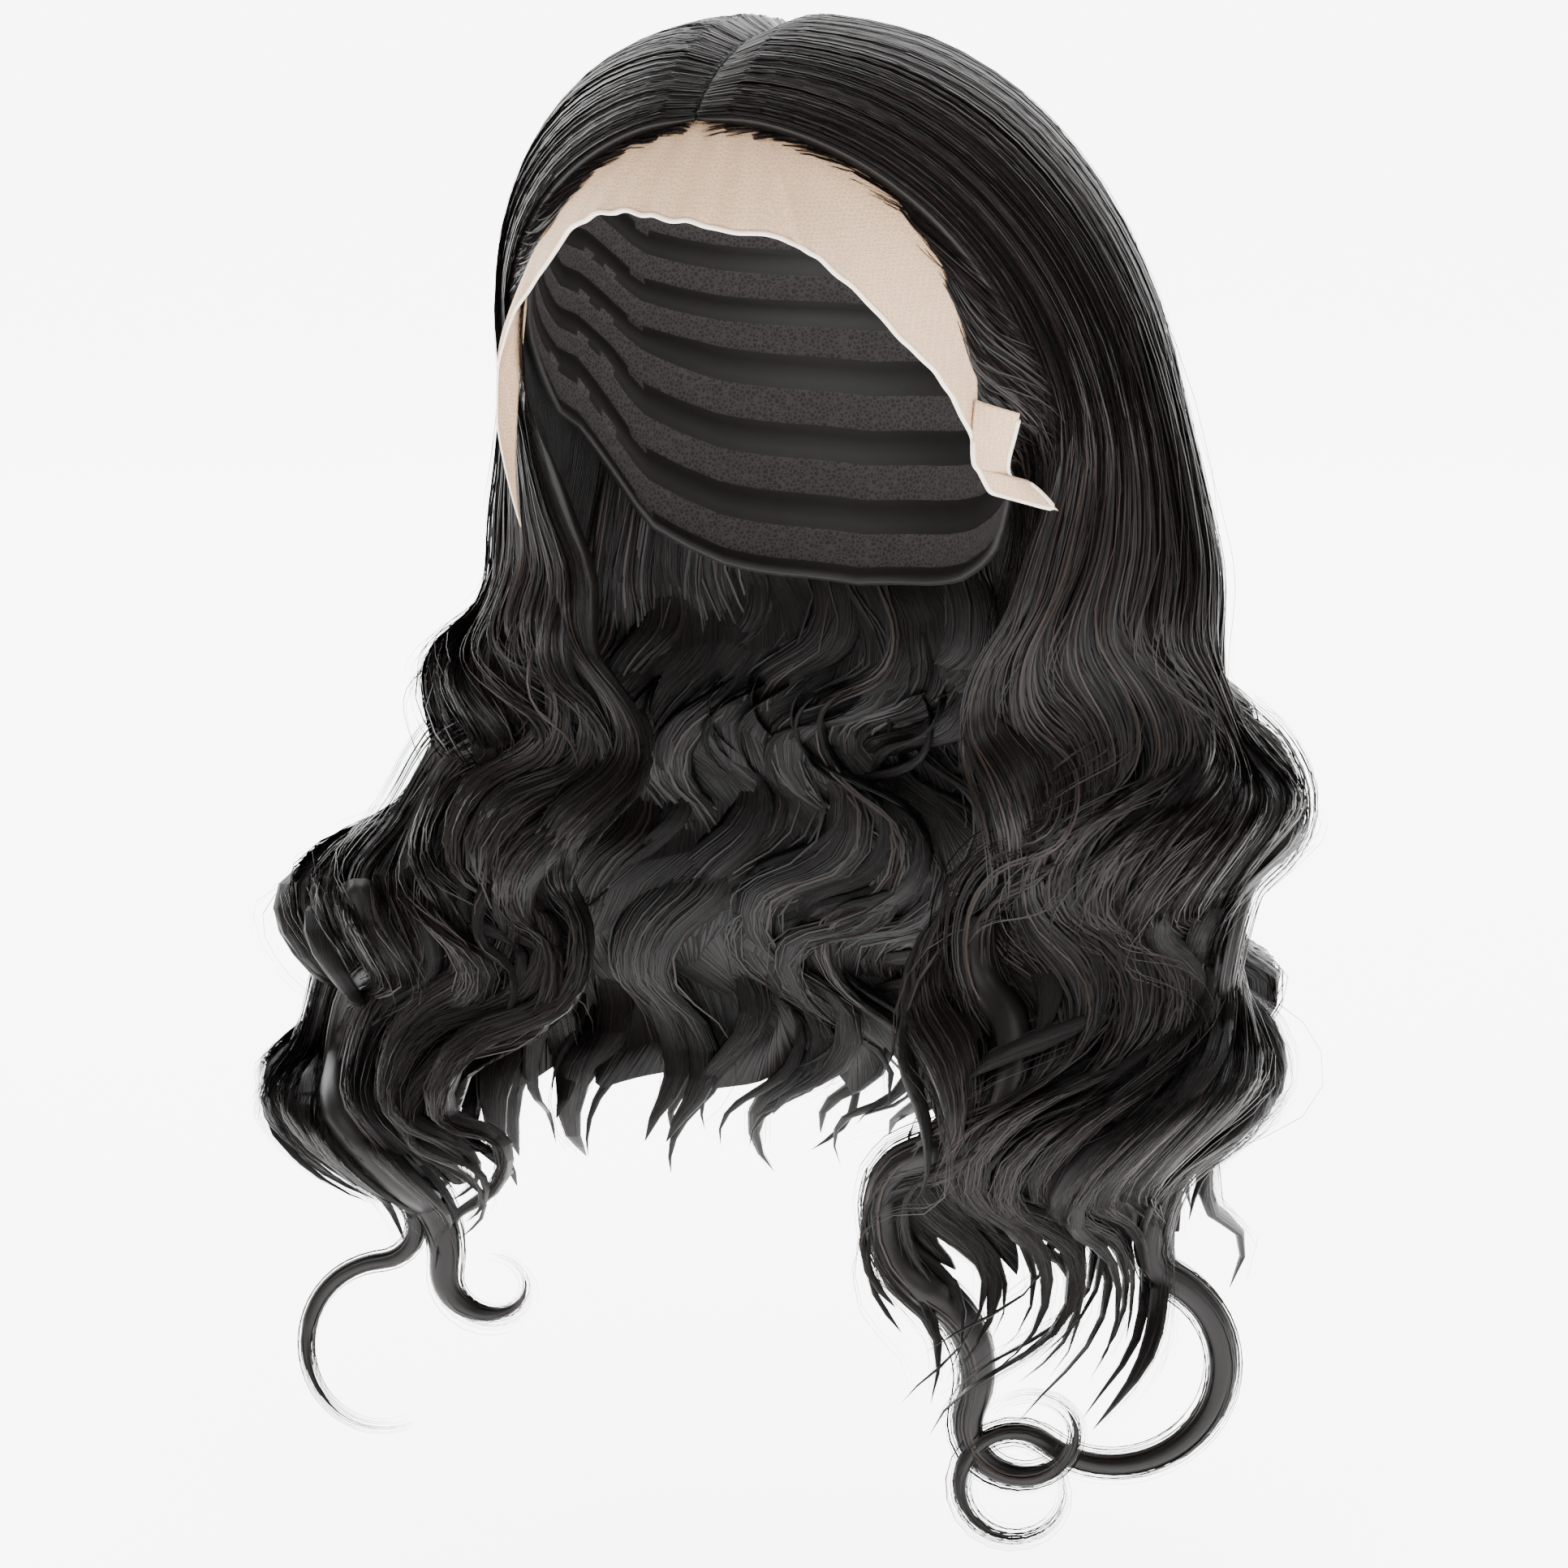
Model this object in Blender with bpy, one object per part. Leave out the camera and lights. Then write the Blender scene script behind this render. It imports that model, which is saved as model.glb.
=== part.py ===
# Lace front wig: long black body-wave hair on a hollow cap with a sheer lace front.
#
# Frame: metres, +Z up, front -Y, wearer's left +X.
# The origin is the inside top of the cap, where the wig rests on the crown of the head.
#
# The pieces:
#   cap          hollow dome that carries the hair, open below
#   lace_front   sheer lace wall from the cap's front edge to a wavy front edge, with ear tabs
#   hair_left    front hair of the wearer's left, from the part to the ring-curled tips
#   hair_right   front hair of the wearer's right, from the part to the ring-curled tips
#   hair_back    back hair, from the rear of the part to the waved tips

import math

import bmesh
import bpy
import numpy as np

# Head hollow: a rounded form, fuller than an ellipsoid
HEAD_HALF_WIDTH = 0.080
HEAD_HALF_DEPTH = 0.098
CROWN_HEIGHT = 0.100
NAPE_DEPTH = 0.135
HEAD_FULLNESS = 2.35

# Walls and clearances
CAP_WALL = 0.0015
LACE_WALL = 0.0010
EDGE_GAP = 0.0003
HAIR_CLEARANCE = 0.0014
PART_GAP = 0.0006

# The part: where the hair divides on the midline, front to back
PART_FRONT = -0.0635
PART_BACK = 0.048

# Hair fall: levels below the cap's top, and the widest reach from the midline
EAR_LEVEL = 0.120
JAW_LEVEL = 0.190
COLLAR_LEVEL = 0.250
CHEST_LEVEL = 0.340
LEFT_TIP_LEVEL = 0.455
RIGHT_TIP_LEVEL = 0.425
BACK_TIP_LEVEL = 0.440
FALL_REACH = 0.160
FALL_THICKNESS = 0.031
CROWN_LIFT = 0.018
PART_RISE = 0.85
SIDE_SWELL = 1.8
EAR_HOLLOW = 0.25
FLOW_EASE = 0.12
FRAME_SPAN = 0.20
SIDE_SHARE = 0.62

# Body wave
WAVE_SWAY = 0.012
WAVE_PUFF = 0.008
WAVE_START = 0.150
WAVE_RUN = 0.100

# Locks
LOCK_COLUMNS = 3
GROOVE_DEPTH = 0.24
FRONT_EDGE_SHARE = 0.55
FRONT_EDGE_WIDTH = 0.14
FALL_ROWS = (6, 6, 8, 4)
SHEET_END = 9.55
TIP_ROOT = 9.0
TIP_ROWS = 9
TIP_WIDTH = 0.004
TIP_SPREAD = 0.95
TIP_LIMIT = 0.034

# Each row is one flow line of hair, from the front edge (0) to the middle of the back (1).
# part: share of the part's length where the line leaves it.
# lift: share of CROWN_LIFT. turn: degrees round from the front. reach: share of FALL_REACH.
FLOW = ("across", "part", "lift", "ear_turn", "ear_reach", "jaw_turn", "jaw_reach",
        "collar_turn", "collar_reach", "chest_turn", "chest_reach", "tip_turn", "tip_reach")
LEFT_FLOW = (
    (0.00, 0.00, 0.30, 98, 0.60, 86, 0.50, 80, 0.46, 46, 0.52, 33, 0.60),
    (0.20, 0.10, 0.50, 101, 0.71, 91, 0.70, 84, 0.74, 64, 0.68, 48, 0.68),
    (0.40, 0.28, 0.80, 105, 0.84, 98, 0.94, 92, 1.06, 78, 1.00, 64, 0.88),
    (0.55, 0.45, 0.95, 112, 0.92, 107, 1.05, 103, 1.16, 92, 1.15, 80, 1.04),
    (0.75, 0.72, 1.00, 140, 0.86, 139, 0.90, 138, 0.98, 135, 1.00, 132, 0.95),
    (1.00, 1.00, 1.00, 180, 0.79, 180, 0.74, 180, 0.75, 180, 0.80, 180, 0.86),
)
RIGHT_FLOW = (
    (0.00, 0.00, 0.28, 80, 0.55, 82, 0.44, 74, 0.37, 38, 0.50, 44, 0.60),
    (0.20, 0.10, 0.50, 88, 0.60, 86, 0.64, 78, 0.70, 56, 0.76, 58, 0.72),
    (0.40, 0.28, 0.80, 98, 0.70, 92, 0.75, 84, 0.94, 72, 1.16, 66, 0.84),
    (0.55, 0.45, 0.95, 110, 0.80, 104, 0.85, 98, 1.04, 88, 1.29, 78, 0.94),
    (0.75, 0.72, 1.00, 140, 0.82, 139, 0.84, 138, 0.94, 135, 1.00, 132, 0.94),
    (1.00, 1.00, 1.00, 180, 0.79, 180, 0.74, 180, 0.75, 180, 0.80, 180, 0.86),
)

# Thickness of the fall at the jaw, collar, chest and tip, as shares of FALL_THICKNESS
FALL_DEPTHS = (0.75, 0.95, 1.0, 0.75)

# Wave of each part of the hair: level of an outward crest, and sway against the sweep
WAVE = ("length", "crest", "puff", "sway_crest", "sway")
LEFT_WAVE = (0.093, 0.245, 1.0, 0.255, 1.0)
RIGHT_WAVE = (0.079, 0.287, 1.1, 0.243, 0.7)
BACK_WAVE = (0.085, 0.262, 0.8, 0.250, 0.8)

# Locks across each piece: width and length are shares, lead is in turns of the wave
LOCK = ("width", "length", "lead")
SIDE_LOCKS = (
    (0.9, 0.98, 0.00),
    (1.1, 1.00, -0.03),
    (1.0, 0.985, 0.03),
    (1.1, 1.00, -0.02),
    (1.0, 0.99, 0.00),
)
BACK_LOCKS = (
    (1.0, 0.98, 0.00),
    (1.1, 1.02, 0.03),
    (1.0, 0.99, -0.02),
    (1.1, 1.03, 0.02),
    (1.0, 0.99, 0.00),
)

# Hairline and lace edge: turn in degrees round from the front, drop below the cap's top
EDGE = ("turn", "hair_drop", "lace_drop", "stand")
FRONT_EDGE = (
    (-62, 0.104, 0.150, 0.0),
    (-56, 0.082, 0.090, 0.0),
    (-45, 0.061, 0.064, 0.0),
    (-34, 0.036, 0.0535, 0.0),
    (-19, 0.021, 0.044, 0.0),
    (-5, 0.0155, 0.043, 0.0),
    (8, 0.0155, 0.047, 0.0),
    (20, 0.017, 0.0485, 0.0),
    (31, 0.021, 0.056, 0.0),
    (42, 0.028, 0.071, 0.0),
    (53, 0.039, 0.087, 0.0),
    (65, 0.063, 0.101, 0.0),
    (73, 0.092, 0.116, 0.0),
    (78, 0.105, 0.129, 0.001),
    (84, 0.118, 0.137, 0.007),
    (92, 0.138, 0.142, 0.014),
)
FLAP_START = 74
FLAP_TOP = ((74, 0.0), (80, 0.60), (84, 0.55), (92, 0.92))
LACE_UNDERLAP = 0.016
LACE_SCALLOP = 0.0012
SCALLOPS = 34

# Cap edge: turn round from the front and drop below the cap's top
CAP_EDGE = ((90, 0.118), (105, 0.128), (125, 0.165), (150, 0.182), (180, 0.186))
CAP_COLUMNS = 32
CAP_ROWS = 7
LACE_ROWS = 3
LACE_COLUMNS = 46

# Curled tips: piece, place across it, where the tip leaves the fall (in knots), then three
# bends, each to a heading in degrees; 0 is down and positive is to the wearer's left
CURL = ("piece", "across", "leave", "radius_1", "heading_1", "radius_2", "heading_2",
        "radius_3", "heading_3", "width")
CURLS = (
    ("hair_left", 0.54, 9.40, 0.012, 62, 0.0360, -132, 0.0175, 262, 0.016),
    ("hair_left", 0.12, 9.55, 0.035, -20, 0.0180, 160, 0.0165, 320, 0.020),
    ("hair_right", 0.40, 9.60, 0.014, -85, 0.0300, 20, 0.0260, 118, 0.010),
    ("hair_right", 0.34, 9.60, 0.040, -8, 0.0150, 130, 0.0142, 265, 0.018),
)
CURL_FACING = 22.0
CURL_TIP = 0.004
LOCK_SIDES = 6
CURL_STEP = 0.008
CURL_DRIFT = 0.016

# Materials
HAIR_COLOUR = (0.012, 0.010, 0.009, 1.0)
CAP_COLOUR = (0.020, 0.017, 0.015, 1.0)
LACE_COLOUR = (0.60, 0.47, 0.36, 1.0)


def clear_scene():
    for item in list(bpy.data.objects):
        bpy.data.objects.remove(item, do_unlink=True)


def make_material(name, colour, roughness):
    material = bpy.data.materials.new(name)
    material.use_nodes = True
    shader = material.node_tree.nodes["Principled BSDF"]
    shader.inputs["Base Color"].default_value = colour
    shader.inputs["Roughness"].default_value = roughness
    return material


def hair_material():
    return make_material("black_hair", HAIR_COLOUR, 0.38)


def cap_material():
    return make_material("cap_net", CAP_COLOUR, 0.85)


def lace_material():
    return make_material("sheer_lace", LACE_COLOUR, 0.70)


def head_direction(point):
    # Direction of a point from the head's centre, in the head's own proportions
    height = np.where(point[..., 2] > -CROWN_HEIGHT, CROWN_HEIGHT, NAPE_DEPTH)
    scaled = np.stack([point[..., 0] / HEAD_HALF_WIDTH,
                       point[..., 1] / HEAD_HALF_DEPTH,
                       (point[..., 2] + CROWN_HEIGHT) / height], -1)
    return scaled / np.linalg.norm(scaled, axis=-1, keepdims=True)


def head_surface(direction, offset):
    # Point on the head's surface in a direction, stood off outwards by an offset
    height = np.where(direction[..., 2] > 0, CROWN_HEIGHT, NAPE_DEPTH)
    half = np.stack([np.full_like(height, HEAD_HALF_WIDTH),
                     np.full_like(height, HEAD_HALF_DEPTH), height], -1)
    around = np.hypot(direction[..., 0], direction[..., 1])
    size = around ** HEAD_FULLNESS + np.abs(direction[..., 2]) ** HEAD_FULLNESS
    unit = direction * (size ** (-1 / HEAD_FULLNESS))[..., None]
    point = unit * (half + np.asarray(offset)[..., None])
    return point - np.array([0.0, 0.0, CROWN_HEIGHT])


def head_ring(turn, drop, offset):
    # Point on the head at a turn round from the front and a drop below the top
    turn = np.radians(turn)
    height = np.where(drop < CROWN_HEIGHT, CROWN_HEIGHT, NAPE_DEPTH)
    level = (CROWN_HEIGHT - drop) / height
    level = np.clip(level, -0.999, 0.9999)
    around = (1 - np.abs(level) ** HEAD_FULLNESS) ** (1 / HEAD_FULLNESS)
    across = np.sin(turn) / HEAD_HALF_WIDTH
    along = -np.cos(turn) / HEAD_HALF_DEPTH
    length = np.hypot(across, along)
    direction = np.stack([across / length * around, along / length * around, level], -1)
    direction = direction / np.linalg.norm(direction, axis=-1, keepdims=True)
    return head_surface(direction, offset)


def smooth_step(value):
    value = np.clip(value, 0.0, 1.0)
    return value * value * (3 - 2 * value)


def table_at(table, across):
    # Table values at a place across the hair, eased between the rows
    table = np.array(table, float)
    ease = min(FLOW_EASE, across, 1 - across)
    places = across + ease * np.linspace(-1, 1, 9)
    return [float(np.interp(places, table[:, 0], table[:, k]).mean())
            for k in range(1, table.shape[1])]


def follow(knots, places):
    # Smooth curve through the knots, at places counted in knots
    knots = np.asarray(knots)
    step = np.linalg.norm(np.diff(knots, axis=0), axis=1)
    slope = np.diff(knots, axis=0) / step[:, None]
    tangent = np.empty_like(knots)
    before = step[:-1, None]
    after = step[1:, None]
    tangent[1:-1] = (slope[:-1] * after + slope[1:] * before) / (before + after)
    tangent[0] = slope[0] * 1.5 - tangent[1] * 0.5
    tangent[-1] = slope[-1] * 1.5 - tangent[-2] * 0.5
    index = np.clip(places.astype(int), 0, len(step) - 1)
    f = (places - index)[:, None]
    h = step[index][:, None]
    a = (2 * f ** 3 - 3 * f ** 2 + 1) * knots[index]
    b = (f ** 3 - 2 * f ** 2 + f) * h * tangent[index]
    c = (3 * f ** 2 - 2 * f ** 3) * knots[index + 1]
    d = (f ** 3 - f ** 2) * h * tangent[index + 1]
    return a + b + c + d


HEAD_KNOTS = 6
LAST_KNOT = HEAD_KNOTS + 4


def flow_line(side, across, places):
    # Unwaved line of the hair's outer surface, and its standing point on the cap's clearance
    row = table_at(LEFT_FLOW if side > 0 else RIGHT_FLOW, across)
    part, lift = row[0], row[1] * CROWN_LIFT
    turns = np.radians(row[2::2])
    reaches = np.array(row[3::2]) * FALL_REACH
    side_tip = LEFT_TIP_LEVEL if side > 0 else RIGHT_TIP_LEVEL
    tip_level = side_tip + (BACK_TIP_LEVEL - side_tip) * smooth_step((across - 0.4) / 0.4)
    levels = -np.array([EAR_LEVEL, JAW_LEVEL, COLLAR_LEVEL, CHEST_LEVEL, tip_level])
    fall = np.stack([side * reaches * np.sin(turns), -reaches * np.cos(turns), levels], 1)
    start_y = PART_FRONT + (PART_BACK - PART_FRONT) * part
    start_z = CROWN_HEIGHT * ((1 - abs(start_y / HEAD_HALF_DEPTH) ** HEAD_FULLNESS)
                              ** (1 / HEAD_FULLNESS) - 1)
    start = head_direction(np.array([side * PART_GAP / 2, start_y, start_z]))
    end = head_direction(fall[0])
    ear_stand = np.linalg.norm(fall[0] - head_surface(end, np.array(0.0)))
    near = CAP_WALL + HAIR_CLEARANCE
    angle = math.acos(float(np.clip(start @ end, -1, 1)))
    under, over = [], []
    for knot in range(HEAD_KNOTS):
        t = knot / HEAD_KNOTS
        direction = math.sin((1 - t) * angle) * start + math.sin(t * angle) * end
        direction = direction / np.linalg.norm(direction)
        rise = PART_RISE + (1 - PART_RISE) * min(1.0, t / 0.25)
        stand = near + lift * rise * (1 - t) ** 1.3 + (ear_stand - near) * t ** SIDE_SWELL
        lower = max(near, near + EAR_HOLLOW * (ear_stand - near) * t ** 3, stand - FALL_THICKNESS)
        over.append(head_surface(direction, np.array(stand)))
        under.append(head_surface(direction, np.array(lower)))
    outer = follow(over + list(fall), places)
    ear_lower = max(near, near + EAR_HOLLOW * (ear_stand - near), ear_stand - FALL_THICKNESS)
    ear_under = head_surface(end, np.array(ear_lower))
    depths = [np.linalg.norm(a - b) for a, b in zip(over, under)]
    depths.append(np.linalg.norm(fall[0] - ear_under))
    depths += [share * FALL_THICKNESS for share in FALL_DEPTHS]
    depth = np.interp(places, np.arange(LAST_KNOT + 1), depths)
    ways = [(a - b) / np.linalg.norm(a - b) for a, b in zip(over, under)]
    ways.append((fall[0] - ear_under) / np.linalg.norm(fall[0] - ear_under))
    ways += [ways[-1]] * (LAST_KNOT - HEAD_KNOTS)
    ways = np.array(ways)
    way = np.stack([np.interp(places, np.arange(LAST_KNOT + 1), ways[:, k]) for k in range(3)], 1)
    return outer, depth, way


def level_frame(side, across, places):
    # Level directions along the hair sheet and out of it, for each place down the line
    if across > 0.999:
        along = np.tile(np.array([-float(side), 0.0, 0.0]), (len(places), 1))
    else:
        after = flow_line(side, min(across + FRAME_SPAN, 1.0), places)[0]
        before = flow_line(side, max(across - FRAME_SPAN, 0.0), places)[0]
        along = (after - before) * np.array([1.0, 1.0, 0.0])
        along /= np.maximum(np.linalg.norm(along, axis=1, keepdims=True), 1e-6)
    outward = np.stack([along[:, 1], -along[:, 0], np.zeros(len(along))], 1) * side
    return along * side, outward


def wave_values(side, across):
    front = LEFT_WAVE if side > 0 else RIGHT_WAVE
    share = smooth_step((across - 0.55) / 0.45)
    return [a + (b - a) * share for a, b in zip(front, BACK_WAVE)]


def waved_line(side, across, places, lead):
    # Outer line with the body wave, and the vector through the hair's thickness
    outer, depth, way = flow_line(side, across, places)
    round_way, outward = level_frame(side, across, places)
    length, crest, puff, sway_crest, sway = wave_values(side, across)
    level = -outer[:, 2]
    share = smooth_step((places - HEAD_KNOTS + 0.6) / 1.2)[:, None]
    through = way * (1 - share) + outward * share
    through /= np.linalg.norm(through, axis=1, keepdims=True)
    strength = smooth_step((level - WAVE_START) / WAVE_RUN)
    puff_turn = np.cos(2 * math.pi * ((level - crest) / length + lead))
    sway_turn = np.cos(2 * math.pi * ((level - sway_crest) / length + lead))
    puff_move = outward * (strength * puff * WAVE_PUFF * puff_turn)[:, None]
    sway_move = round_way * (strength * sway * WAVE_SWAY * sway_turn)[:, None]
    return outer + puff_move + sway_move, through * depth[:, None]


def lock_places(locks):
    # Places of the grooves between the locks, across a piece
    widths = np.array([row[0] for row in locks])
    return np.concatenate([[0.0], np.cumsum(widths)]) / widths.sum()


def piece_locks(name):
    return BACK_LOCKS if name == "hair_back" else SIDE_LOCKS


def side_and_across(name, place):
    # Side of the head and place across its flow table, for a place across a piece
    if name == "hair_back":
        across = SIDE_SHARE + (1 - SIDE_SHARE) * (1 - abs(2 * place - 1))
        return (1 if place <= 0.5 else -1), across
    return (1 if name == "hair_left" else -1), SIDE_SHARE * place


def sheet_columns(name):
    # Place across, lock swell and wave lead of every column of a piece
    locks = piece_locks(name)
    edges = lock_places(locks)
    centres = (edges[:-1] + edges[1:]) / 2
    leads = [0.0] + [row[2] for row in locks] + [0.0]
    columns = []
    for index in range(len(locks)):
        for step in range(LOCK_COLUMNS):
            f = step / LOCK_COLUMNS
            swell = math.sin(math.pi * f) ** 0.6 if step else 0.0
            columns.append((edges[index] + (edges[index + 1] - edges[index]) * f, swell))
    columns.append((1.0, 0.0))
    knots = np.concatenate([[0.0], centres, [1.0]])
    return [(place, swell, float(np.interp(place, knots, leads))) for place, swell in columns]


def row_places():
    head = np.arange(HEAD_KNOTS)
    fall = [np.linspace(HEAD_KNOTS + k, HEAD_KNOTS + k + 1, rows + 1)[:-1]
            for k, rows in enumerate(FALL_ROWS[:-1])]
    last = np.linspace(LAST_KNOT - 1, SHEET_END, FALL_ROWS[-1] + 1)
    return np.concatenate([head] + fall + [last])


def build_sheet(name):
    # Closed grooved body of one piece of hair: outer grid, inner grid and the rims between
    rows = row_places()
    inner_grid, outer_grid = [], []
    for place, swell, lead in sheet_columns(name):
        side, across = side_and_across(name, place)
        outer, through = waved_line(side, across, rows, lead)
        groove = GROOVE_DEPTH * (0.5 + 0.9 * rows / LAST_KNOT)
        high = 1.0 - groove * (1 - swell)
        low = np.zeros(len(rows))
        if name != "hair_back":
            edge = min(1.0, place / FRONT_EDGE_WIDTH)
            high = high * (FRONT_EDGE_SHARE + (1 - FRONT_EDGE_SHARE) * edge)
            fallen = smooth_step((rows - HEAD_KNOTS) / 1.5)
            low = low + 0.22 * (1 - edge) * fallen
        taper = smooth_step((rows - (SHEET_END - 1.1)) / 1.1)
        low = low + (0.34 - low) * taper
        high = high + (0.60 - high) * taper
        body_inner = outer - through * (1 - low)[:, None]
        body_outer = outer - through * (1 - high)[:, None]
        if place in (0.0, 1.0):
            move = seam_shift(name, side, across, rows, place == 0.0)
            body_inner, body_outer = body_inner + move, body_outer + move
        inner_grid.append(body_inner)
        outer_grid.append(body_outer)
    return close_sheet(name, np.array(inner_grid), np.array(outer_grid))


def seam_shift(name, side, across, rows, first):
    # Move of a seam column, half the part gap away from the neighbouring piece
    if name != "hair_back" and first:
        return np.zeros((len(rows), 3))
    round_way = level_frame(side, across, rows)[0] * side
    sign = 1.0 if name == "hair_back" else -1.0
    return round_way * sign * PART_GAP / 2


def close_sheet(name, inner, outer):
    count, rows = outer.shape[:2]
    mesh = bmesh.new()
    top = [[mesh.verts.new(outer[c, r]) for r in range(rows)] for c in range(count)]
    bottom = [[mesh.verts.new(inner[c, r]) for r in range(rows)] for c in range(count)]
    for c in range(count - 1):
        for r in range(rows - 1):
            mesh.faces.new((top[c][r], top[c][r + 1], top[c + 1][r + 1]))
            mesh.faces.new((top[c][r], top[c + 1][r + 1], top[c + 1][r]))
            mesh.faces.new((bottom[c][r], bottom[c + 1][r + 1], bottom[c][r + 1]))
            mesh.faces.new((bottom[c][r], bottom[c + 1][r], bottom[c + 1][r + 1]))
        for r in (0, rows - 1):
            mesh.faces.new((top[c][r], top[c + 1][r], bottom[c + 1][r], bottom[c][r]))
    for c in (0, count - 1):
        for r in range(rows - 1):
            mesh.faces.new((top[c][r], bottom[c][r], top[c][r + 1]))
            mesh.faces.new((bottom[c][r], bottom[c][r + 1], top[c][r + 1]))
    bmesh.ops.recalc_face_normals(mesh, faces=mesh.faces)
    bmesh.ops.triangulate(mesh, faces=mesh.faces)
    if mesh.calc_volume(signed=True) < 0:
        bmesh.ops.reverse_faces(mesh, faces=mesh.faces)
    return new_object(name, mesh)


def new_object(name, mesh):
    data = bpy.data.meshes.new(name)
    mesh.to_mesh(data)
    mesh.free()
    body = bpy.data.objects.new(name, data)
    bpy.context.collection.objects.link(body)
    return body


def curl_path(name, across, leave, bends):
    # Centre line of a curled tip: down the fall, then round its bends in the curl's plane
    side = 1 if name == "hair_left" else -1
    places = np.linspace(leave - 0.6, leave, 12)
    outer, through = waved_line(side, across, places, 0.0)
    run = outer - 0.5 * through
    facing = math.radians(CURL_FACING)
    level_way = np.array([math.cos(facing), math.sin(facing), 0.0])
    down = np.array([0.0, 0.0, -1.0])
    last = run[-1] - run[-2]
    heading = math.atan2(float(last @ level_way), float(last @ down))
    points = [run[k] for k in range(len(run))]
    place = run[-1]
    for radius, aim in bends:
        sweep = math.radians(aim) - heading
        steps = max(2, round(abs(sweep) * radius / 0.002))
        for index in range(steps):
            heading += sweep / steps / 2
            place = place + (math.sin(heading) * level_way + math.cos(heading) * down) \
                * abs(sweep) * radius / steps
            heading += sweep / steps / 2
            points.append(place)
    points = np.array(points)
    drift = np.array([math.sin(facing), -math.cos(facing), 0.0])
    turned = np.linspace(0, 1, len(points))
    return points + drift * (CURL_DRIFT * smooth_step(turned * 1.6 - 0.6))[:, None]


def sweep(name, path, sideways, half_width, half_depth):
    # Closed lock with an oval section swept along a path
    tangent = np.gradient(path, axis=0)
    tangent /= np.linalg.norm(tangent, axis=1, keepdims=True)
    sideways = sideways - tangent * (sideways * tangent).sum(1, keepdims=True)
    sideways /= np.linalg.norm(sideways, axis=1, keepdims=True)
    upward = np.cross(sideways, tangent)
    mesh = bmesh.new()
    rings = []
    for k in range(len(path)):
        ring = []
        for s in range(LOCK_SIDES):
            angle = 2 * math.pi * (s + 0.5) / LOCK_SIDES
            offset = sideways[k] * math.cos(angle) * half_width[k] \
                + upward[k] * math.sin(angle) * half_depth[k]
            ring.append(mesh.verts.new(path[k] + offset))
        rings.append(ring)
    for k in range(len(path) - 1):
        for s in range(LOCK_SIDES):
            t = (s + 1) % LOCK_SIDES
            mesh.faces.new((rings[k][s], rings[k][t], rings[k + 1][t], rings[k + 1][s]))
    mesh.faces.new(rings[0])
    mesh.faces.new(rings[-1])
    bmesh.ops.recalc_face_normals(mesh, faces=mesh.faces)
    if mesh.calc_volume(signed=True) < 0:
        bmesh.ops.reverse_faces(mesh, faces=mesh.faces)
    return new_object(name, mesh)


def build_curl(name, row):
    piece, across, leave, width = row[0], row[1], row[2], row[-1]
    path = curl_path(piece, across, leave, list(zip(row[3:-1:2], row[4:-1:2])))
    step = np.linalg.norm(np.diff(path, axis=0), axis=1)
    along = np.concatenate([[0], np.cumsum(step)])
    even = np.linspace(0, along[-1], int(along[-1] / CURL_STEP) + 1)
    path = np.stack([np.interp(even, along, path[:, k]) for k in range(3)], 1)
    share = even / along[-1]
    facing = math.radians(CURL_FACING)
    normal = np.array([math.sin(facing), -math.cos(facing), 0.0])
    sideways = np.cross(np.gradient(path, axis=0), normal)
    half = 0.5 * (CURL_TIP + (width - CURL_TIP) * (1 - share) ** 1.2)
    half = half * np.minimum(1.0, 0.35 + share * 6)
    return sweep(name, path, sideways, half, 0.62 * half)


def build_tip(name, piece, place, length, lead, width):
    # Loose pointed end of one lock, from inside the sheet to its own tip
    side, across = side_and_across(piece, place)
    places = np.linspace(TIP_ROOT, LAST_KNOT * length, TIP_ROWS)
    outer, through = waved_line(side, across, places, lead)
    path = outer - 0.53 * through
    sideways, outward = level_frame(side, across, places)
    share = np.linspace(0, 1, TIP_ROWS)
    half_width = 0.5 * (width + (TIP_WIDTH - width) * share ** 1.6)
    half_depth = np.linalg.norm(through, axis=1) * 0.5 * (0.42 - 0.30 * share)
    return sweep(name, path, sideways, half_width, half_depth)


def lock_tips(name):
    # One loose end for each lock that doesn't end in a curl
    locks = piece_locks(name)
    edges = lock_places(locks)
    curled = [row[1] for row in CURLS if row[0] == name]
    tips = []
    for index, (share, length, lead) in enumerate(locks):
        place = (edges[index] + edges[index + 1]) / 2
        low, high = SIDE_SHARE * edges[index], SIDE_SHARE * edges[index + 1]
        if name != "hair_back" and any(low <= across < high for across in curled):
            continue
        side, across = side_and_across(name, place)
        spots = [waved_line(*side_and_across(name, edge), np.array([TIP_ROOT]), 0.0)[0][0]
                 for edge in (edges[index], edges[index + 1])]
        width = min(float(np.linalg.norm(spots[1] - spots[0])) * TIP_SPREAD, TIP_LIMIT)
        tips.append(build_tip(name + "_tip_" + str(index), name, place, length, lead, width))
    return tips


def fuse(body, extras):
    for extra in extras:
        union = body.modifiers.new("union", "BOOLEAN")
        union.operation = "UNION"
        union.solver = "EXACT"
        union.object = extra
    graph = bpy.context.evaluated_depsgraph_get()
    graph.update()
    done = bpy.data.meshes.new_from_object(body.evaluated_get(graph))
    old = body.data
    body.modifiers.clear()
    body.data = done
    bpy.data.meshes.remove(old)
    body.data.name = body.name
    for extra in extras:
        bpy.data.objects.remove(extra, do_unlink=True)


def finish(body, material, smooth=True):
    body.data.materials.clear()
    body.data.materials.append(material)
    for face in body.data.polygons:
        face.use_smooth = smooth


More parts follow.
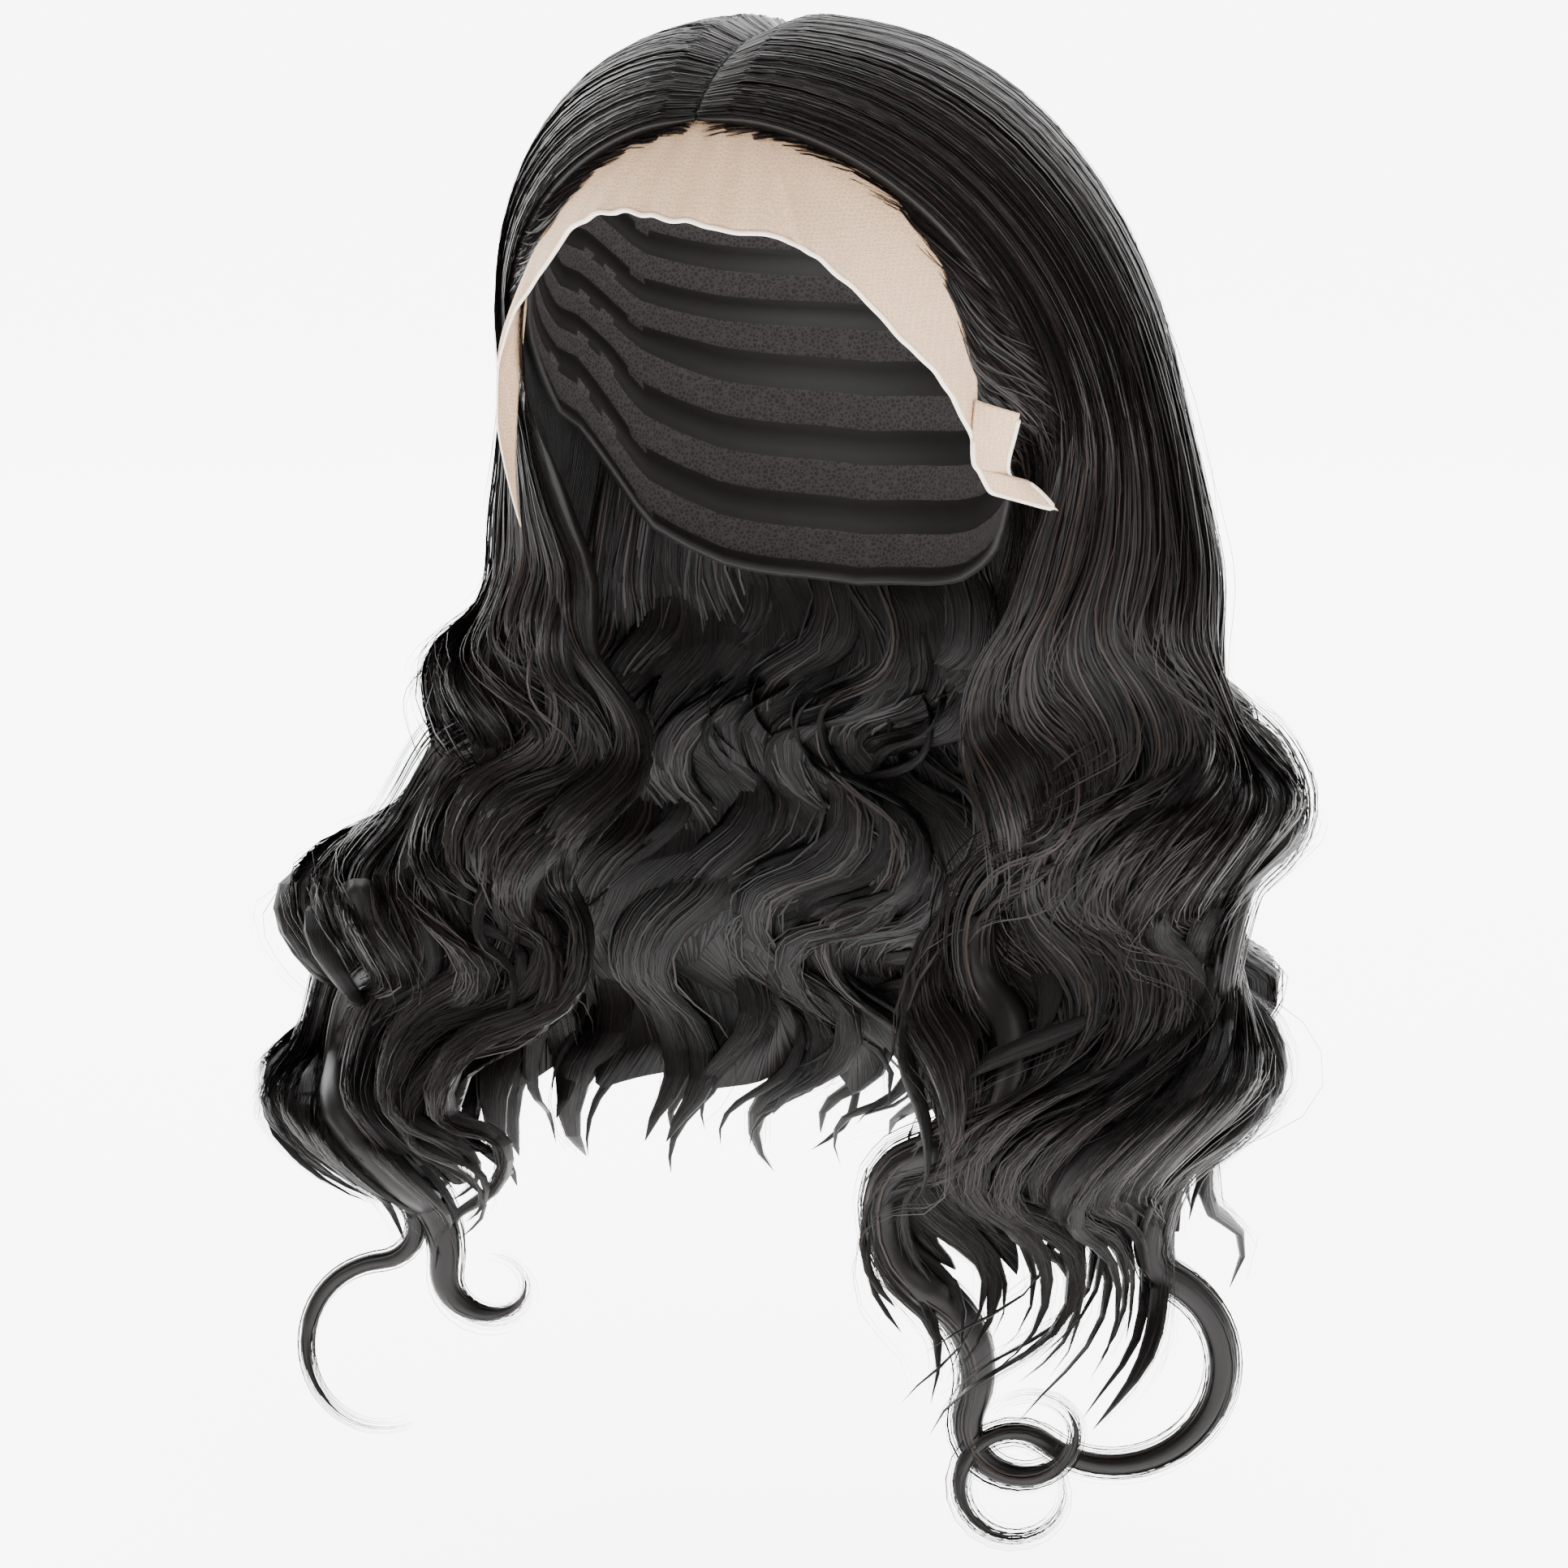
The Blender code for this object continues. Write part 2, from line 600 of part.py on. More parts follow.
def hair_piece(name, material):
    body = build_sheet(name)
    curls = [build_curl(name + "_curl_" + str(k), row) for k, row in enumerate(CURLS)
             if row[0] == name]
    fuse(body, lock_tips(name) + curls)
    finish(body, material)
    return body


def edge_drop(turn, column):
    table = np.array(FRONT_EDGE, float)
    return np.interp(turn, table[:, 0], table[:, column])


def cap_edge_drop(turn):
    # Drop of the cap's edge all round: behind the hairline in front, then ear and nape
    size = np.abs(turn)
    table = np.array(CAP_EDGE, float)
    rear = np.interp(size, table[:, 0], table[:, 1])
    front = edge_drop(turn, 1)
    back_share = smooth_step((size - 66) / 24)
    return front, rear, back_share


def meridian(turn, drop):
    # Angle down from the head's top of a point at a turn and a drop
    height = np.where(drop < CROWN_HEIGHT, CROWN_HEIGHT, NAPE_DEPTH)
    level = np.clip((CROWN_HEIGHT - drop) / height, -0.999, 0.9999)
    around = (1 - np.abs(level) ** HEAD_FULLNESS) ** (1 / HEAD_FULLNESS)
    return np.arctan2(around, level)


def meridian_point(turn, angle, offset):
    turn = np.radians(turn)
    across = np.sin(turn) / HEAD_HALF_WIDTH
    along = -np.cos(turn) / HEAD_HALF_DEPTH
    length = np.hypot(across, along)
    direction = np.stack([across / length * np.sin(angle), along / length * np.sin(angle),
                          np.cos(angle)], -1)
    return head_surface(direction, offset)


def cap_edge_angle(turn):
    front, rear, share = cap_edge_drop(turn)
    front_angle = meridian(turn, front) - LACE_UNDERLAP / CROWN_HEIGHT
    return front_angle + (meridian(turn, rear) - front_angle) * share


def thicken(body, wall):
    solid = body.modifiers.new("wall", "SOLIDIFY")
    solid.thickness = wall
    solid.offset = 1.0
    solid.use_even_offset = True
    solid.use_rim = True


def build_cap(material):
    mesh = bmesh.new()
    pole = mesh.verts.new((0.0, 0.0, 0.0))
    turns = np.arange(CAP_COLUMNS) * 360.0 / CAP_COLUMNS - 180.0
    edge = cap_edge_angle(turns)
    rings = []
    for k in range(1, CAP_ROWS + 1):
        points = meridian_point(turns, edge * k / CAP_ROWS, np.zeros(len(turns)))
        rings.append([mesh.verts.new(point) for point in points])
    for s in range(CAP_COLUMNS):
        t = (s + 1) % CAP_COLUMNS
        mesh.faces.new((pole, rings[0][s], rings[0][t]))
        for k in range(CAP_ROWS - 1):
            mesh.faces.new((rings[k][s], rings[k + 1][s], rings[k + 1][t], rings[k][t]))
    bmesh.ops.recalc_face_normals(mesh, faces=mesh.faces)
    body = new_object("cap", mesh)
    thicken(body, CAP_WALL)
    finish(body, material)
    return body


def build_lace(material):
    # Lace wall from the cap's front edge to its own scalloped edge, ending in the ear flap
    first, last = FRONT_EDGE[0][0], FRONT_EDGE[-1][0]
    turns = np.linspace(first, last, LACE_COLUMNS)
    scallop = LACE_SCALLOP * np.cos(np.linspace(0, math.pi * SCALLOPS, LACE_COLUMNS))
    low = meridian(turns, edge_drop(turns, 2) + scallop)
    posts = np.arange(CAP_COLUMNS + 1) * 360.0 / CAP_COLUMNS - 180.0
    high = np.interp(turns, posts, cap_edge_angle(posts)) + EDGE_GAP * 3 / CROWN_HEIGHT
    flap = np.array(FLAP_TOP, float)
    high = high + (low - high) * np.interp(turns, flap[:, 0], flap[:, 1], left=0.0)
    stand = edge_drop(turns, 3)
    mesh = bmesh.new()
    grid = []
    for k in range(LACE_ROWS + 1):
        f = k / LACE_ROWS
        points = meridian_point(turns, high + (low - high) * f, stand)
        grid.append([mesh.verts.new(point) for point in points])
    for s in range(LACE_COLUMNS - 1):
        for k in range(LACE_ROWS):
            mesh.faces.new((grid[k][s], grid[k + 1][s], grid[k + 1][s + 1], grid[k][s + 1]))
    bmesh.ops.recalc_face_normals(mesh, faces=mesh.faces)
    up = sum(face.normal.y * face.calc_center_median().y for face in mesh.faces)
    if up < 0:
        bmesh.ops.reverse_faces(mesh, faces=mesh.faces)
    body = new_object("lace_front", mesh)
    thicken(body, LACE_WALL)
    finish(body, material)
    return body


def main():
    clear_scene()
    hair = hair_material()
    build_cap(cap_material())
    build_lace(lace_material())
    for name in ("hair_left", "hair_right", "hair_back"):
        hair_piece(name, hair)


main()
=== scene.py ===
"""Lace front wig: long black body-wave hair on a hollow cap, dressed strand by strand.

The frame is in metres, +Z up, the lace front towards -Y, hair_left towards +X.
"""
import math

import bmesh
import bpy
import numpy as np
from mathutils import Matrix, Vector


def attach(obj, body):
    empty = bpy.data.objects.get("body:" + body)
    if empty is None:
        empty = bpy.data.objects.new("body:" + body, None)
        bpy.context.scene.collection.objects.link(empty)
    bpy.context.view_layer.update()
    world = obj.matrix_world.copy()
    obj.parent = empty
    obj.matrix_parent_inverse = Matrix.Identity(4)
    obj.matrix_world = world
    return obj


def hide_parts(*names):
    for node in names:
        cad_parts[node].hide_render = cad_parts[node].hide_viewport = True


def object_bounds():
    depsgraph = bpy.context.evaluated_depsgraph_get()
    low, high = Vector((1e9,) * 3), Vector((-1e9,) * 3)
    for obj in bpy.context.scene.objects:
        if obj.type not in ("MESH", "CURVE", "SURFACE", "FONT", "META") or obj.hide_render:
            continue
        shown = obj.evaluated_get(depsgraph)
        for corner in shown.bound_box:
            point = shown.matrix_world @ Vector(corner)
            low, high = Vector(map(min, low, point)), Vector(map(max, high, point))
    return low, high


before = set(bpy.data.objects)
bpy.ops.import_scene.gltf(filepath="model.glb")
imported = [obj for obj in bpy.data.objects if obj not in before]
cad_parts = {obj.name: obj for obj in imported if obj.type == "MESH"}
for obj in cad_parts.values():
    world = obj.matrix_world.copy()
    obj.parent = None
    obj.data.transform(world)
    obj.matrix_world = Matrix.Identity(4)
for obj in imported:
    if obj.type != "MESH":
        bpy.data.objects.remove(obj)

bl_info = {
    "name": "Lace Front Wig",
    "version": (1, 0, 0),
    "blender": (4, 5, 0),
    "location": "3D View > Sidebar > Wig",
    "description": "Builds a body-wave wig with a sheer lace front and a plain stage",
    "category": "Object",
}

SOLID_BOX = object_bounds()

# Hollow of the cap, and the walls and gaps round it
HEAD_HALF_WIDTH = 0.080
HEAD_HALF_DEPTH = 0.098
CROWN_HEIGHT = 0.100
NAPE_DEPTH = 0.135
HEAD_FULLNESS = 2.35
CAP_WALL = 0.0015
HAIR_CLEARANCE = 0.0014
PART_GAP = 0.0006
PART_FRONT = -0.0635
PART_BACK = 0.048

# Hair fall: levels below the cap's top, and the widest reach from the midline
EAR_LEVEL = 0.120
JAW_LEVEL = 0.190
COLLAR_LEVEL = 0.250
CHEST_LEVEL = 0.340
LEFT_TIP_LEVEL = 0.455
RIGHT_TIP_LEVEL = 0.425
BACK_TIP_LEVEL = 0.440
FALL_REACH = 0.160
FALL_THICKNESS = 0.031
CROWN_LIFT = 0.018
PART_RISE = 0.85
SIDE_SWELL = 1.8
EAR_HOLLOW = 0.25
FLOW_EASE = 0.12
FRAME_SPAN = 0.20
SIDE_SHARE = 0.62
FALL_DEPTHS = (0.75, 0.95, 1.0, 0.75)

# Body wave
WAVE_SWAY = 0.012
WAVE_PUFF = 0.008
WAVE_START = 0.150
WAVE_RUN = 0.100

# Length of a wave, level of a puff's crest, share of puff, level of a sway's crest, share of sway
LEFT_WAVE = (0.093, 0.245, 1.0, 0.255, 1.0)
RIGHT_WAVE = (0.079, 0.287, 1.1, 0.243, 0.7)
BACK_WAVE = (0.085, 0.262, 0.62, 0.250, 0.8)

# Waves of the loose strands: deeper troughs, bulges that tuck in below, more sway mid-piece
WAVE_DEEPER = 1.55
WAVE_SKEW = 0.45
WAVE_MIDDLE = 1.0
WAVE_ROUND = 0.19
WAVE_INNER_LOSS = 0.35

# How far the waves run ahead, in turns: sway in the middle of a piece, puff at its front edge
WAVE_DRIFT = {"hair_left": (0.45, 0.0), "hair_right": (0.30, 0.25), "hair_back": (0.0, 0.0)}

# Each row is one flow line of hair: its place from the front edge (0) to the middle of the
# back (1), its place along the parting, its lift at the crown, then its turn round from the
# front in degrees and its share of the reach, at each level from EAR_LEVEL down to the tip
LEFT_FLOW = (
    (0.00, 0.00, 0.30, 98, 0.60, 86, 0.50, 80, 0.46, 46, 0.52, 33, 0.60),
    (0.20, 0.10, 0.50, 101, 0.71, 91, 0.70, 84, 0.74, 64, 0.68, 48, 0.68),
    (0.40, 0.28, 0.80, 105, 0.84, 98, 0.94, 92, 1.06, 78, 1.00, 64, 0.88),
    (0.55, 0.45, 0.95, 112, 0.92, 107, 1.05, 103, 1.16, 92, 1.15, 80, 1.04),
    (0.75, 0.72, 1.00, 140, 0.86, 139, 0.90, 138, 0.98, 135, 1.00, 132, 0.95),
    (1.00, 1.00, 1.00, 180, 0.79, 180, 0.74, 180, 0.75, 180, 0.80, 180, 0.86),
)
RIGHT_FLOW = (
    (0.00, 0.00, 0.28, 80, 0.55, 82, 0.44, 74, 0.37, 38, 0.50, 44, 0.60),
    (0.20, 0.10, 0.50, 88, 0.60, 86, 0.64, 78, 0.70, 56, 0.76, 58, 0.72),
    (0.40, 0.28, 0.80, 98, 0.70, 92, 0.75, 84, 0.94, 72, 1.16, 66, 0.84),
    (0.55, 0.45, 0.95, 110, 0.80, 104, 0.85, 98, 1.04, 88, 1.29, 78, 0.94),
    (0.75, 0.72, 1.00, 140, 0.82, 139, 0.84, 138, 0.94, 135, 1.00, 132, 0.94),
    (1.00, 1.00, 1.00, 180, 0.79, 180, 0.74, 180, 0.75, 180, 0.80, 180, 0.86),
)
HEAD_KNOTS = 6
LAST_KNOT = 10
FIELD_END = 10.45
FIELD_COLUMNS = 73
FIELD_ROWS = 210
HEAD_STEPS = 0.27

# Curled tips: piece, place across, row where the curl leaves the fall, radius and heading in
# degrees at the end of each of three bends, and thickness
CURLS = (
    ("hair_left", 0.54, 9.40, 0.012, 62, 0.0360, -132, 0.0175, 262, 0.016),
    ("hair_left", 0.12, 9.55, 0.035, -20, 0.0180, 160, 0.0165, 320, 0.020),
    ("hair_right", 0.40, 9.60, 0.014, -85, 0.0300, 20, 0.0260, 118, 0.010),
    ("hair_right", 0.34, 9.60, 0.040, -8, 0.0150, 130, 0.0142, 265, 0.018),
)
CURL_FACING = 22.0
CURL_TIP = 0.004
CURL_DRIFT = 0.016
CURL_THINNING = 1.2
CURL_STEP = 0.002

# Rows above a curl's start that its strands and its dense middle come from, and the middle's
# share of the curl's half width and length
CURL_STRAND_RUN = 1.9
CURL_CORE_RUN = 1.2
CURL_CORE_SHARE = 0.36
CURL_CORE_LENGTH = 0.80
CURL_CORE_SIDES = 8

# Front edge: turn in degrees round from the front, drops of the hairline and of the lace's
# free edge below the cap's top, and how far the free edge stands off the cap's curve
FRONT_EDGE = (
    (-62, 0.104, 0.150, 0.005),
    (-56, 0.082, 0.115, 0.009),
    (-50, 0.071, 0.095, 0.008),
    (-45, 0.061, 0.080, 0.004),
    (-40, 0.049, 0.070, 0.001),
    (-34, 0.036, 0.060, 0.0),
    (-28, 0.028, 0.050, 0.0),
    (-19, 0.021, 0.044, 0.0),
    (-5, 0.0155, 0.043, 0.0),
    (8, 0.0155, 0.047, 0.0),
    (20, 0.017, 0.0485, 0.0),
    (31, 0.021, 0.056, 0.0),
    (42, 0.028, 0.071, 0.0),
    (53, 0.039, 0.087, 0.0),
    (65, 0.063, 0.101, 0.0),
    (73, 0.092, 0.116, 0.0),
    (78, 0.105, 0.129, 0.001),
    (84, 0.118, 0.137, 0.007),
    (92, 0.138, 0.142, 0.014),
)
LACE_END = 75.5

# Fine hairs at the hairline: how far they grow behind it at the temple, how far they turn back
# in degrees, how they sweep from the lace into the fall, and to which turn they grow
TEMPLE_DEPTH = 0.018
HAIRLINE_TURN_BACK = 16
HAIRLINE_SWEEP = 1.9
HAIRLINE_TURNS = {"hair_left": 90.0, "hair_right": -62.0}

# Ear tab: turn, drop and stand of its base, then of its free tip, in rows from the top down
EAR_TAB = (
    (73.5, 0.104, 0.0005, 80, 0.1080, 0.0120),
    (72.5, 0.112, 0.0005, 81, 0.1155, 0.0095),
    (73.0, 0.119, 0.0005, 82, 0.1235, 0.0070),
    (75.5, 0.127, 0.0015, 87, 0.1300, 0.0130),
    (79.0, 0.134, 0.0035, 89, 0.1360, 0.0220),
)
TAB_ROWS = 26
TAB_COLUMNS = 14
TAB_STAND = 0.0012

# Lace: how far it stands off the cap, then the smoothings and sides of its rolled edge
LACE_STAND = 0.0003
EDGE_SMOOTHINGS = 3
EDGE_SIDES = 6

# Relief of the lace: scallops by height, waves in a full turn and how far they run ahead, then
# the crease, the loose free edge and the gathers
SCALLOPS = ((0.00025, 52, 0), (0.0005, 21, 1))
CREASE_HEIGHT = 0.0018
CREASE_TURN = 16
CREASE_LEAN = 11
CREASE_WIDTH = 1.3
LOOSE_EDGE_HEIGHT = 0.0010
LOOSE_EDGE_WAVES = 15
GATHER_HEIGHT = 0.0006
GATHER_WAVES = 44
GATHER_SPAN = 30

# Cap: how far its front edge lies behind the hairline, then turn and drop of its rear edge
LACE_UNDERLAP = 0.016
CAP_EDGE = ((90, 0.118), (105, 0.128), (125, 0.165), (150, 0.182), (180, 0.186))
CAP_COLUMNS = 32
EDGE_GAP = 0.0003
ROW_LINES = 8
CAP_START = 0.01
CAP_ROLL = 0.0004

# How far each lock spreads by row, and how its lower end comes to a point and waves less
SPREAD_ROWS = (0, 4.5, 6.5, 8.0, 9.0, 10.3)
SPREAD = (1.3, 1.25, 1.10, 1.05, 1.0, 0.9)
POINT_RUN = 1.35
TIP_WAVE = -0.35
TIP_ROW = 8.9
TIP_RUN = 1.3

# Rows where locks come free of the cap and where their ends draw together
FREE_ROW = 5.0
FREE_RUN = 2.5
DRAW_ROW = 7.8
DRAW_RUN = 2.2

# How deep the roots sink beside the parting
ROOT_SINK = 0.45
ROOT_SINK_RUN = 0.6

# Bodies under the strands: sides and width of a lock, rows where they start, open and end, how
# many locks the lower ends and the inside have, and knots of the ragged end and the ridges
LOCK_SIDES = 10
LOCK_WIDTH = 0.88
ENDS_START = 7.6
OPENING_RUN = 0.9
SIDE_END_LOCKS = 30
INNER_LOCKS = 22
MASS_END = 9.42
MASS_TAPER = 1.3
RAGGED_KNOTS = 31
RIDGE_KNOTS = 9

# Layers of locks: how much their waves differ, their shortest reach, whether they start at the
# parting, their first and last place through the hair, how far strands stray and stand proud,
# their share of the wave and the most that a lock sinks below its neighbours
LAYERS = {
    "outer": {"lead": 0.055, "short": 0.935, "rooted": True, "top": 0.0, "low": 0.13,
              "stray": 0.20, "proud": 0.05, "wave": 1.0, "stagger": 0.22},
    "ends": {"lead": 0.080, "short": 0.90, "rooted": False, "top": 0.15, "low": 0.60,
             "stray": 0.30, "proud": 0.05, "wave": 1.0, "stagger": 0.45},
    "inner": {"lead": 0.055, "short": 0.94, "rooted": False, "top": 1.0, "low": 0.86,
              "stray": 0.22, "proud": 0.03, "wave": 1.0, "stagger": 0.22},
    "loose": {"lead": 0.090, "short": 0.80, "rooted": False, "top": -0.02, "low": 0.06,
              "stray": 1.10, "proud": 0.16, "wave": 1.2, "stagger": 0.22},
}

# Where the lower ends of a piece draw together, how much, and how unlike its locks' waves are
DRAWN = {"hair_left": (0.55, 0.20, 1.0), "hair_right": (0.60, 0.55, 1.0), "hair_back": (0.5, 0.0, 1.9)}

# Camera, as fitted to the photograph: turn round from the front, rise, place in its own axes
# from a point on the cap's upright axis, height of that point, then lens and sensor
CAMERA_TURN = 21.6
CAMERA_RISE = 12.8
CAMERA_RIGHT = 0.0035
CAMERA_UP = -0.1267
CAMERA_BACK = 1.2469
CAMERA_AIM = -0.113
CAMERA_LENS = 85.0
CAMERA_SENSOR = 36.0

# Stage: gap under the hair, then the floor's half width, its front and rear ends, and the
# radius and height of the backdrop that it curves up into
FLOOR_GAP = 0.030
FLOOR_HALF_WIDTH = 7.0
FLOOR_FRONT = -6.0
FLOOR_REAR = 2.2
CURVE_RADIUS = 1.2
CURVE_STEPS = 12
BACKDROP_HEIGHT = 6.0

# Lamps: place, size, power in watts and colour, all aimed at one point
LAMP_AIM = (0.0, 0.0, -0.2)
LAMPS = {
    "key_light": ((-0.6, -1.9, 1.2), (1.6, 1.6), 34.0, (1.0, 0.99, 0.97)),
    "top_light": ((0.5, -0.1, 1.7), (1.2, 1.2), 19.0, (1.0, 1.0, 1.0)),
    "side_light": ((1.9, -0.5, 0.3), (0.8, 1.6), 22.0, (1.0, 1.0, 1.0)),
    "rear_light": ((-1.5, 1.2, 0.7), (0.8, 1.6), 12.0, (1.0, 1.0, 1.0)),
}


# Flow of the hair

def head_direction(point):
    """Direction from the hollow's middle to a point, in shares of the hollow's half sizes."""
    height = np.where(point[..., 2] > -CROWN_HEIGHT, CROWN_HEIGHT, NAPE_DEPTH)
    scaled = np.stack([point[..., 0] / HEAD_HALF_WIDTH, point[..., 1] / HEAD_HALF_DEPTH,
                       (point[..., 2] + CROWN_HEIGHT) / height], -1)
    return scaled / np.linalg.norm(scaled, axis=-1, keepdims=True)


def head_surface(direction, offset):
    """Point on the hollow's curve in a direction, stood off outwards by an offset."""
    height = np.where(direction[..., 2] > 0, CROWN_HEIGHT, NAPE_DEPTH)
    half = np.stack([np.full_like(height, HEAD_HALF_WIDTH),
                     np.full_like(height, HEAD_HALF_DEPTH), height], -1)
    around = np.hypot(direction[..., 0], direction[..., 1])
    size = around ** HEAD_FULLNESS + np.abs(direction[..., 2]) ** HEAD_FULLNESS
    unit = direction * (size ** (-1 / HEAD_FULLNESS))[..., None]
    return unit * (half + np.asarray(offset)[..., None]) - np.array([0.0, 0.0, CROWN_HEIGHT])


def smooth_step(value):
    """Eased share from 0 to 1."""
    value = np.clip(value, 0.0, 1.0)
    return value * value * (3 - 2 * value)


def table_at(table, across):
    """Row of a flow table at a place across, eased between the rows that it gives."""
    table = np.array(table, float)
    ease = min(FLOW_EASE, across, 1 - across)
    places = across + ease * np.linspace(-1, 1, 9)
    return [float(np.interp(places, table[:, 0], table[:, k]).mean())
            for k in range(1, table.shape[1])]


def follow(knots, places):
    """Smooth curve through the knots, at places counted in knots."""
    knots = np.asarray(knots)
    step = np.linalg.norm(np.diff(knots, axis=0), axis=1)
    slope = np.diff(knots, axis=0) / step[:, None]
    tangent = np.empty_like(knots)
    before = step[:-1, None]
    after = step[1:, None]
    tangent[1:-1] = (slope[:-1] * after + slope[1:] * before) / (before + after)
    tangent[0] = slope[0] * 1.5 - tangent[1] * 0.5
    tangent[-1] = slope[-1] * 1.5 - tangent[-2] * 0.5
    index = np.clip(places.astype(int), 0, len(step) - 1)
    f = (places - index)[:, None]
    h = step[index][:, None]
    a = (2 * f ** 3 - 3 * f ** 2 + 1) * knots[index]
    b = (f ** 3 - 2 * f ** 2 + f) * h * tangent[index]
    c = (3 * f ** 2 - 2 * f ** 3) * knots[index + 1]
    d = (f ** 3 - f ** 2) * h * tangent[index + 1]
    return a + b + c + d


def flow_line(side, across, places):
    """Unwaved line of the hair's outer surface, its thickness and the way through it."""
    row = table_at(LEFT_FLOW if side > 0 else RIGHT_FLOW, across)
    part, lift = row[0], row[1] * CROWN_LIFT
    turns = np.radians(row[2::2])
    reaches = np.array(row[3::2]) * FALL_REACH
    side_tip = LEFT_TIP_LEVEL if side > 0 else RIGHT_TIP_LEVEL
    tip_level = side_tip + (BACK_TIP_LEVEL - side_tip) * smooth_step((across - 0.4) / 0.4)
    levels = -np.array([EAR_LEVEL, JAW_LEVEL, COLLAR_LEVEL, CHEST_LEVEL, tip_level])
    fall = np.stack([side * reaches * np.sin(turns), -reaches * np.cos(turns), levels], 1)
    start_y = PART_FRONT + (PART_BACK - PART_FRONT) * part
    start_z = CROWN_HEIGHT * ((1 - abs(start_y / HEAD_HALF_DEPTH) ** HEAD_FULLNESS)
                              ** (1 / HEAD_FULLNESS) - 1)
    start = head_direction(np.array([side * PART_GAP / 2, start_y, start_z]))
    end = head_direction(fall[0])
    ear_stand = np.linalg.norm(fall[0] - head_surface(end, np.array(0.0)))
    near = CAP_WALL + HAIR_CLEARANCE
    angle = math.acos(float(np.clip(start @ end, -1, 1)))
    under, over = [], []
    for knot in range(HEAD_KNOTS):
        t = knot / HEAD_KNOTS
        direction = math.sin((1 - t) * angle) * start + math.sin(t * angle) * end
        direction = direction / np.linalg.norm(direction)
        rise = PART_RISE + (1 - PART_RISE) * min(1.0, t / 0.25)
        stand = near + lift * rise * (1 - t) ** 1.3 + (ear_stand - near) * t ** SIDE_SWELL
        lower = max(near, near + EAR_HOLLOW * (ear_stand - near) * t ** 3, stand - FALL_THICKNESS)
        over.append(head_surface(direction, np.array(stand)))
        under.append(head_surface(direction, np.array(lower)))
    outer = follow(over + list(fall), places)
    ear_lower = max(near, near + EAR_HOLLOW * (ear_stand - near), ear_stand - FALL_THICKNESS)
    ear_under = head_surface(end, np.array(ear_lower))
    depths = [np.linalg.norm(a - b) for a, b in zip(over, under)]
    depths.append(np.linalg.norm(fall[0] - ear_under))
    depths += [share * FALL_THICKNESS for share in FALL_DEPTHS]
    knots = np.arange(LAST_KNOT + 1)
    depth = np.interp(places, knots, depths)
    ways = [(a - b) / np.linalg.norm(a - b) for a, b in zip(over, under)]
    ways.append((fall[0] - ear_under) / np.linalg.norm(fall[0] - ear_under))
    ways += [ways[-1]] * (LAST_KNOT - HEAD_KNOTS)
    ways = np.array(ways)
    way = np.stack([np.interp(places, knots, ways[:, k]) for k in range(3)], 1)
    return outer, depth, way


def level_frame(side, across, places):
    """Level directions along the hair and out of it, for each place down the line."""
    if across > 0.999:
        along = np.tile(np.array([-float(side), 0.0, 0.0]), (len(places), 1))
    else:
        after = flow_line(side, min(across + FRAME_SPAN, 1.0), places)[0]
        before = flow_line(side, max(across - FRAME_SPAN, 0.0), places)[0]
        along = (after - before) * np.array([1.0, 1.0, 0.0])
        along /= np.maximum(np.linalg.norm(along, axis=1, keepdims=True), 1e-6)
    outward = np.stack([along[:, 1], -along[:, 0], np.zeros(len(along))], 1) * side
    return along * side, outward


def wave_values(side, across):
    """Wave of a side's front, blended into that of the back."""
    front = LEFT_WAVE if side > 0 else RIGHT_WAVE
    share = smooth_step((across - 0.55) / 0.45)
    return [a + (b - a) * share for a, b in zip(front, BACK_WAVE)]


def side_and_across(name, place):
    """Side of the wig and place on its flow table, for a place across one piece."""
    if name == "hair_back":
        across = SIDE_SHARE + (1 - SIDE_SHARE) * (1 - abs(2 * place - 1))
        return (1 if place <= 0.5 else -1), across
    return (1 if name == "hair_left" else -1), SIDE_SHARE * place


def hair_field(name):
    """Grid of the flow of one piece of hair: places across it by places down it."""
    rows = np.linspace(0, FIELD_END, FIELD_ROWS)
    known = np.minimum(rows, LAST_KNOT)
    field = []
    for place in np.linspace(0, 1, FIELD_COLUMNS):
        side, across = side_and_across(name, place)
        outer, depth, way = flow_line(side, across, rows)
        along, outward = level_frame(side, across, known)
        length, crest, puff, sway_crest, sway = wave_values(side, across)
        level = -outer[:, 2]
        share = smooth_step((rows - HEAD_KNOTS + 0.6) / 1.2)[:, None]
        through = way * (1 - share) + outward * share
        through /= np.linalg.norm(through, axis=1, keepdims=True)
        strength = smooth_step((level - WAVE_START) / WAVE_RUN)
        sway_drift, puff_drift = WAVE_DRIFT[name]
        sway_ahead = sway_drift * smooth_step(place / 0.4) * (1 - smooth_step((place - 0.7) / 0.3))
        puff_ahead = puff_drift * (1 - smooth_step(place / 0.6))
        field.append(np.column_stack([
            outer, through * depth[:, None], outward, along,
            strength * puff * WAVE_PUFF, strength * sway * WAVE_SWAY,
            (level - crest) / length + puff_ahead, (level - sway_crest) / length + sway_ahead]))
    return np.array(field)


def field_at(field, place, row):
    """Field values at places across and down, blended between the grid's points."""
    c = np.clip(place, 0, 1) * (FIELD_COLUMNS - 1)
    r = np.clip(row / FIELD_END, 0, 1) * (FIELD_ROWS - 1)
    c0 = np.minimum(c.astype(int), FIELD_COLUMNS - 2)
    r0 = np.minimum(r.astype(int), FIELD_ROWS - 2)
    fc = (c - c0)[..., None]
    fr = (r - r0)[..., None]
    low = field[c0, r0] * (1 - fr) + field[c0, r0 + 1] * fr
    high = field[c0 + 1, r0] * (1 - fr) + field[c0 + 1, r0 + 1] * fr
    return low * (1 - fc) + high * fc


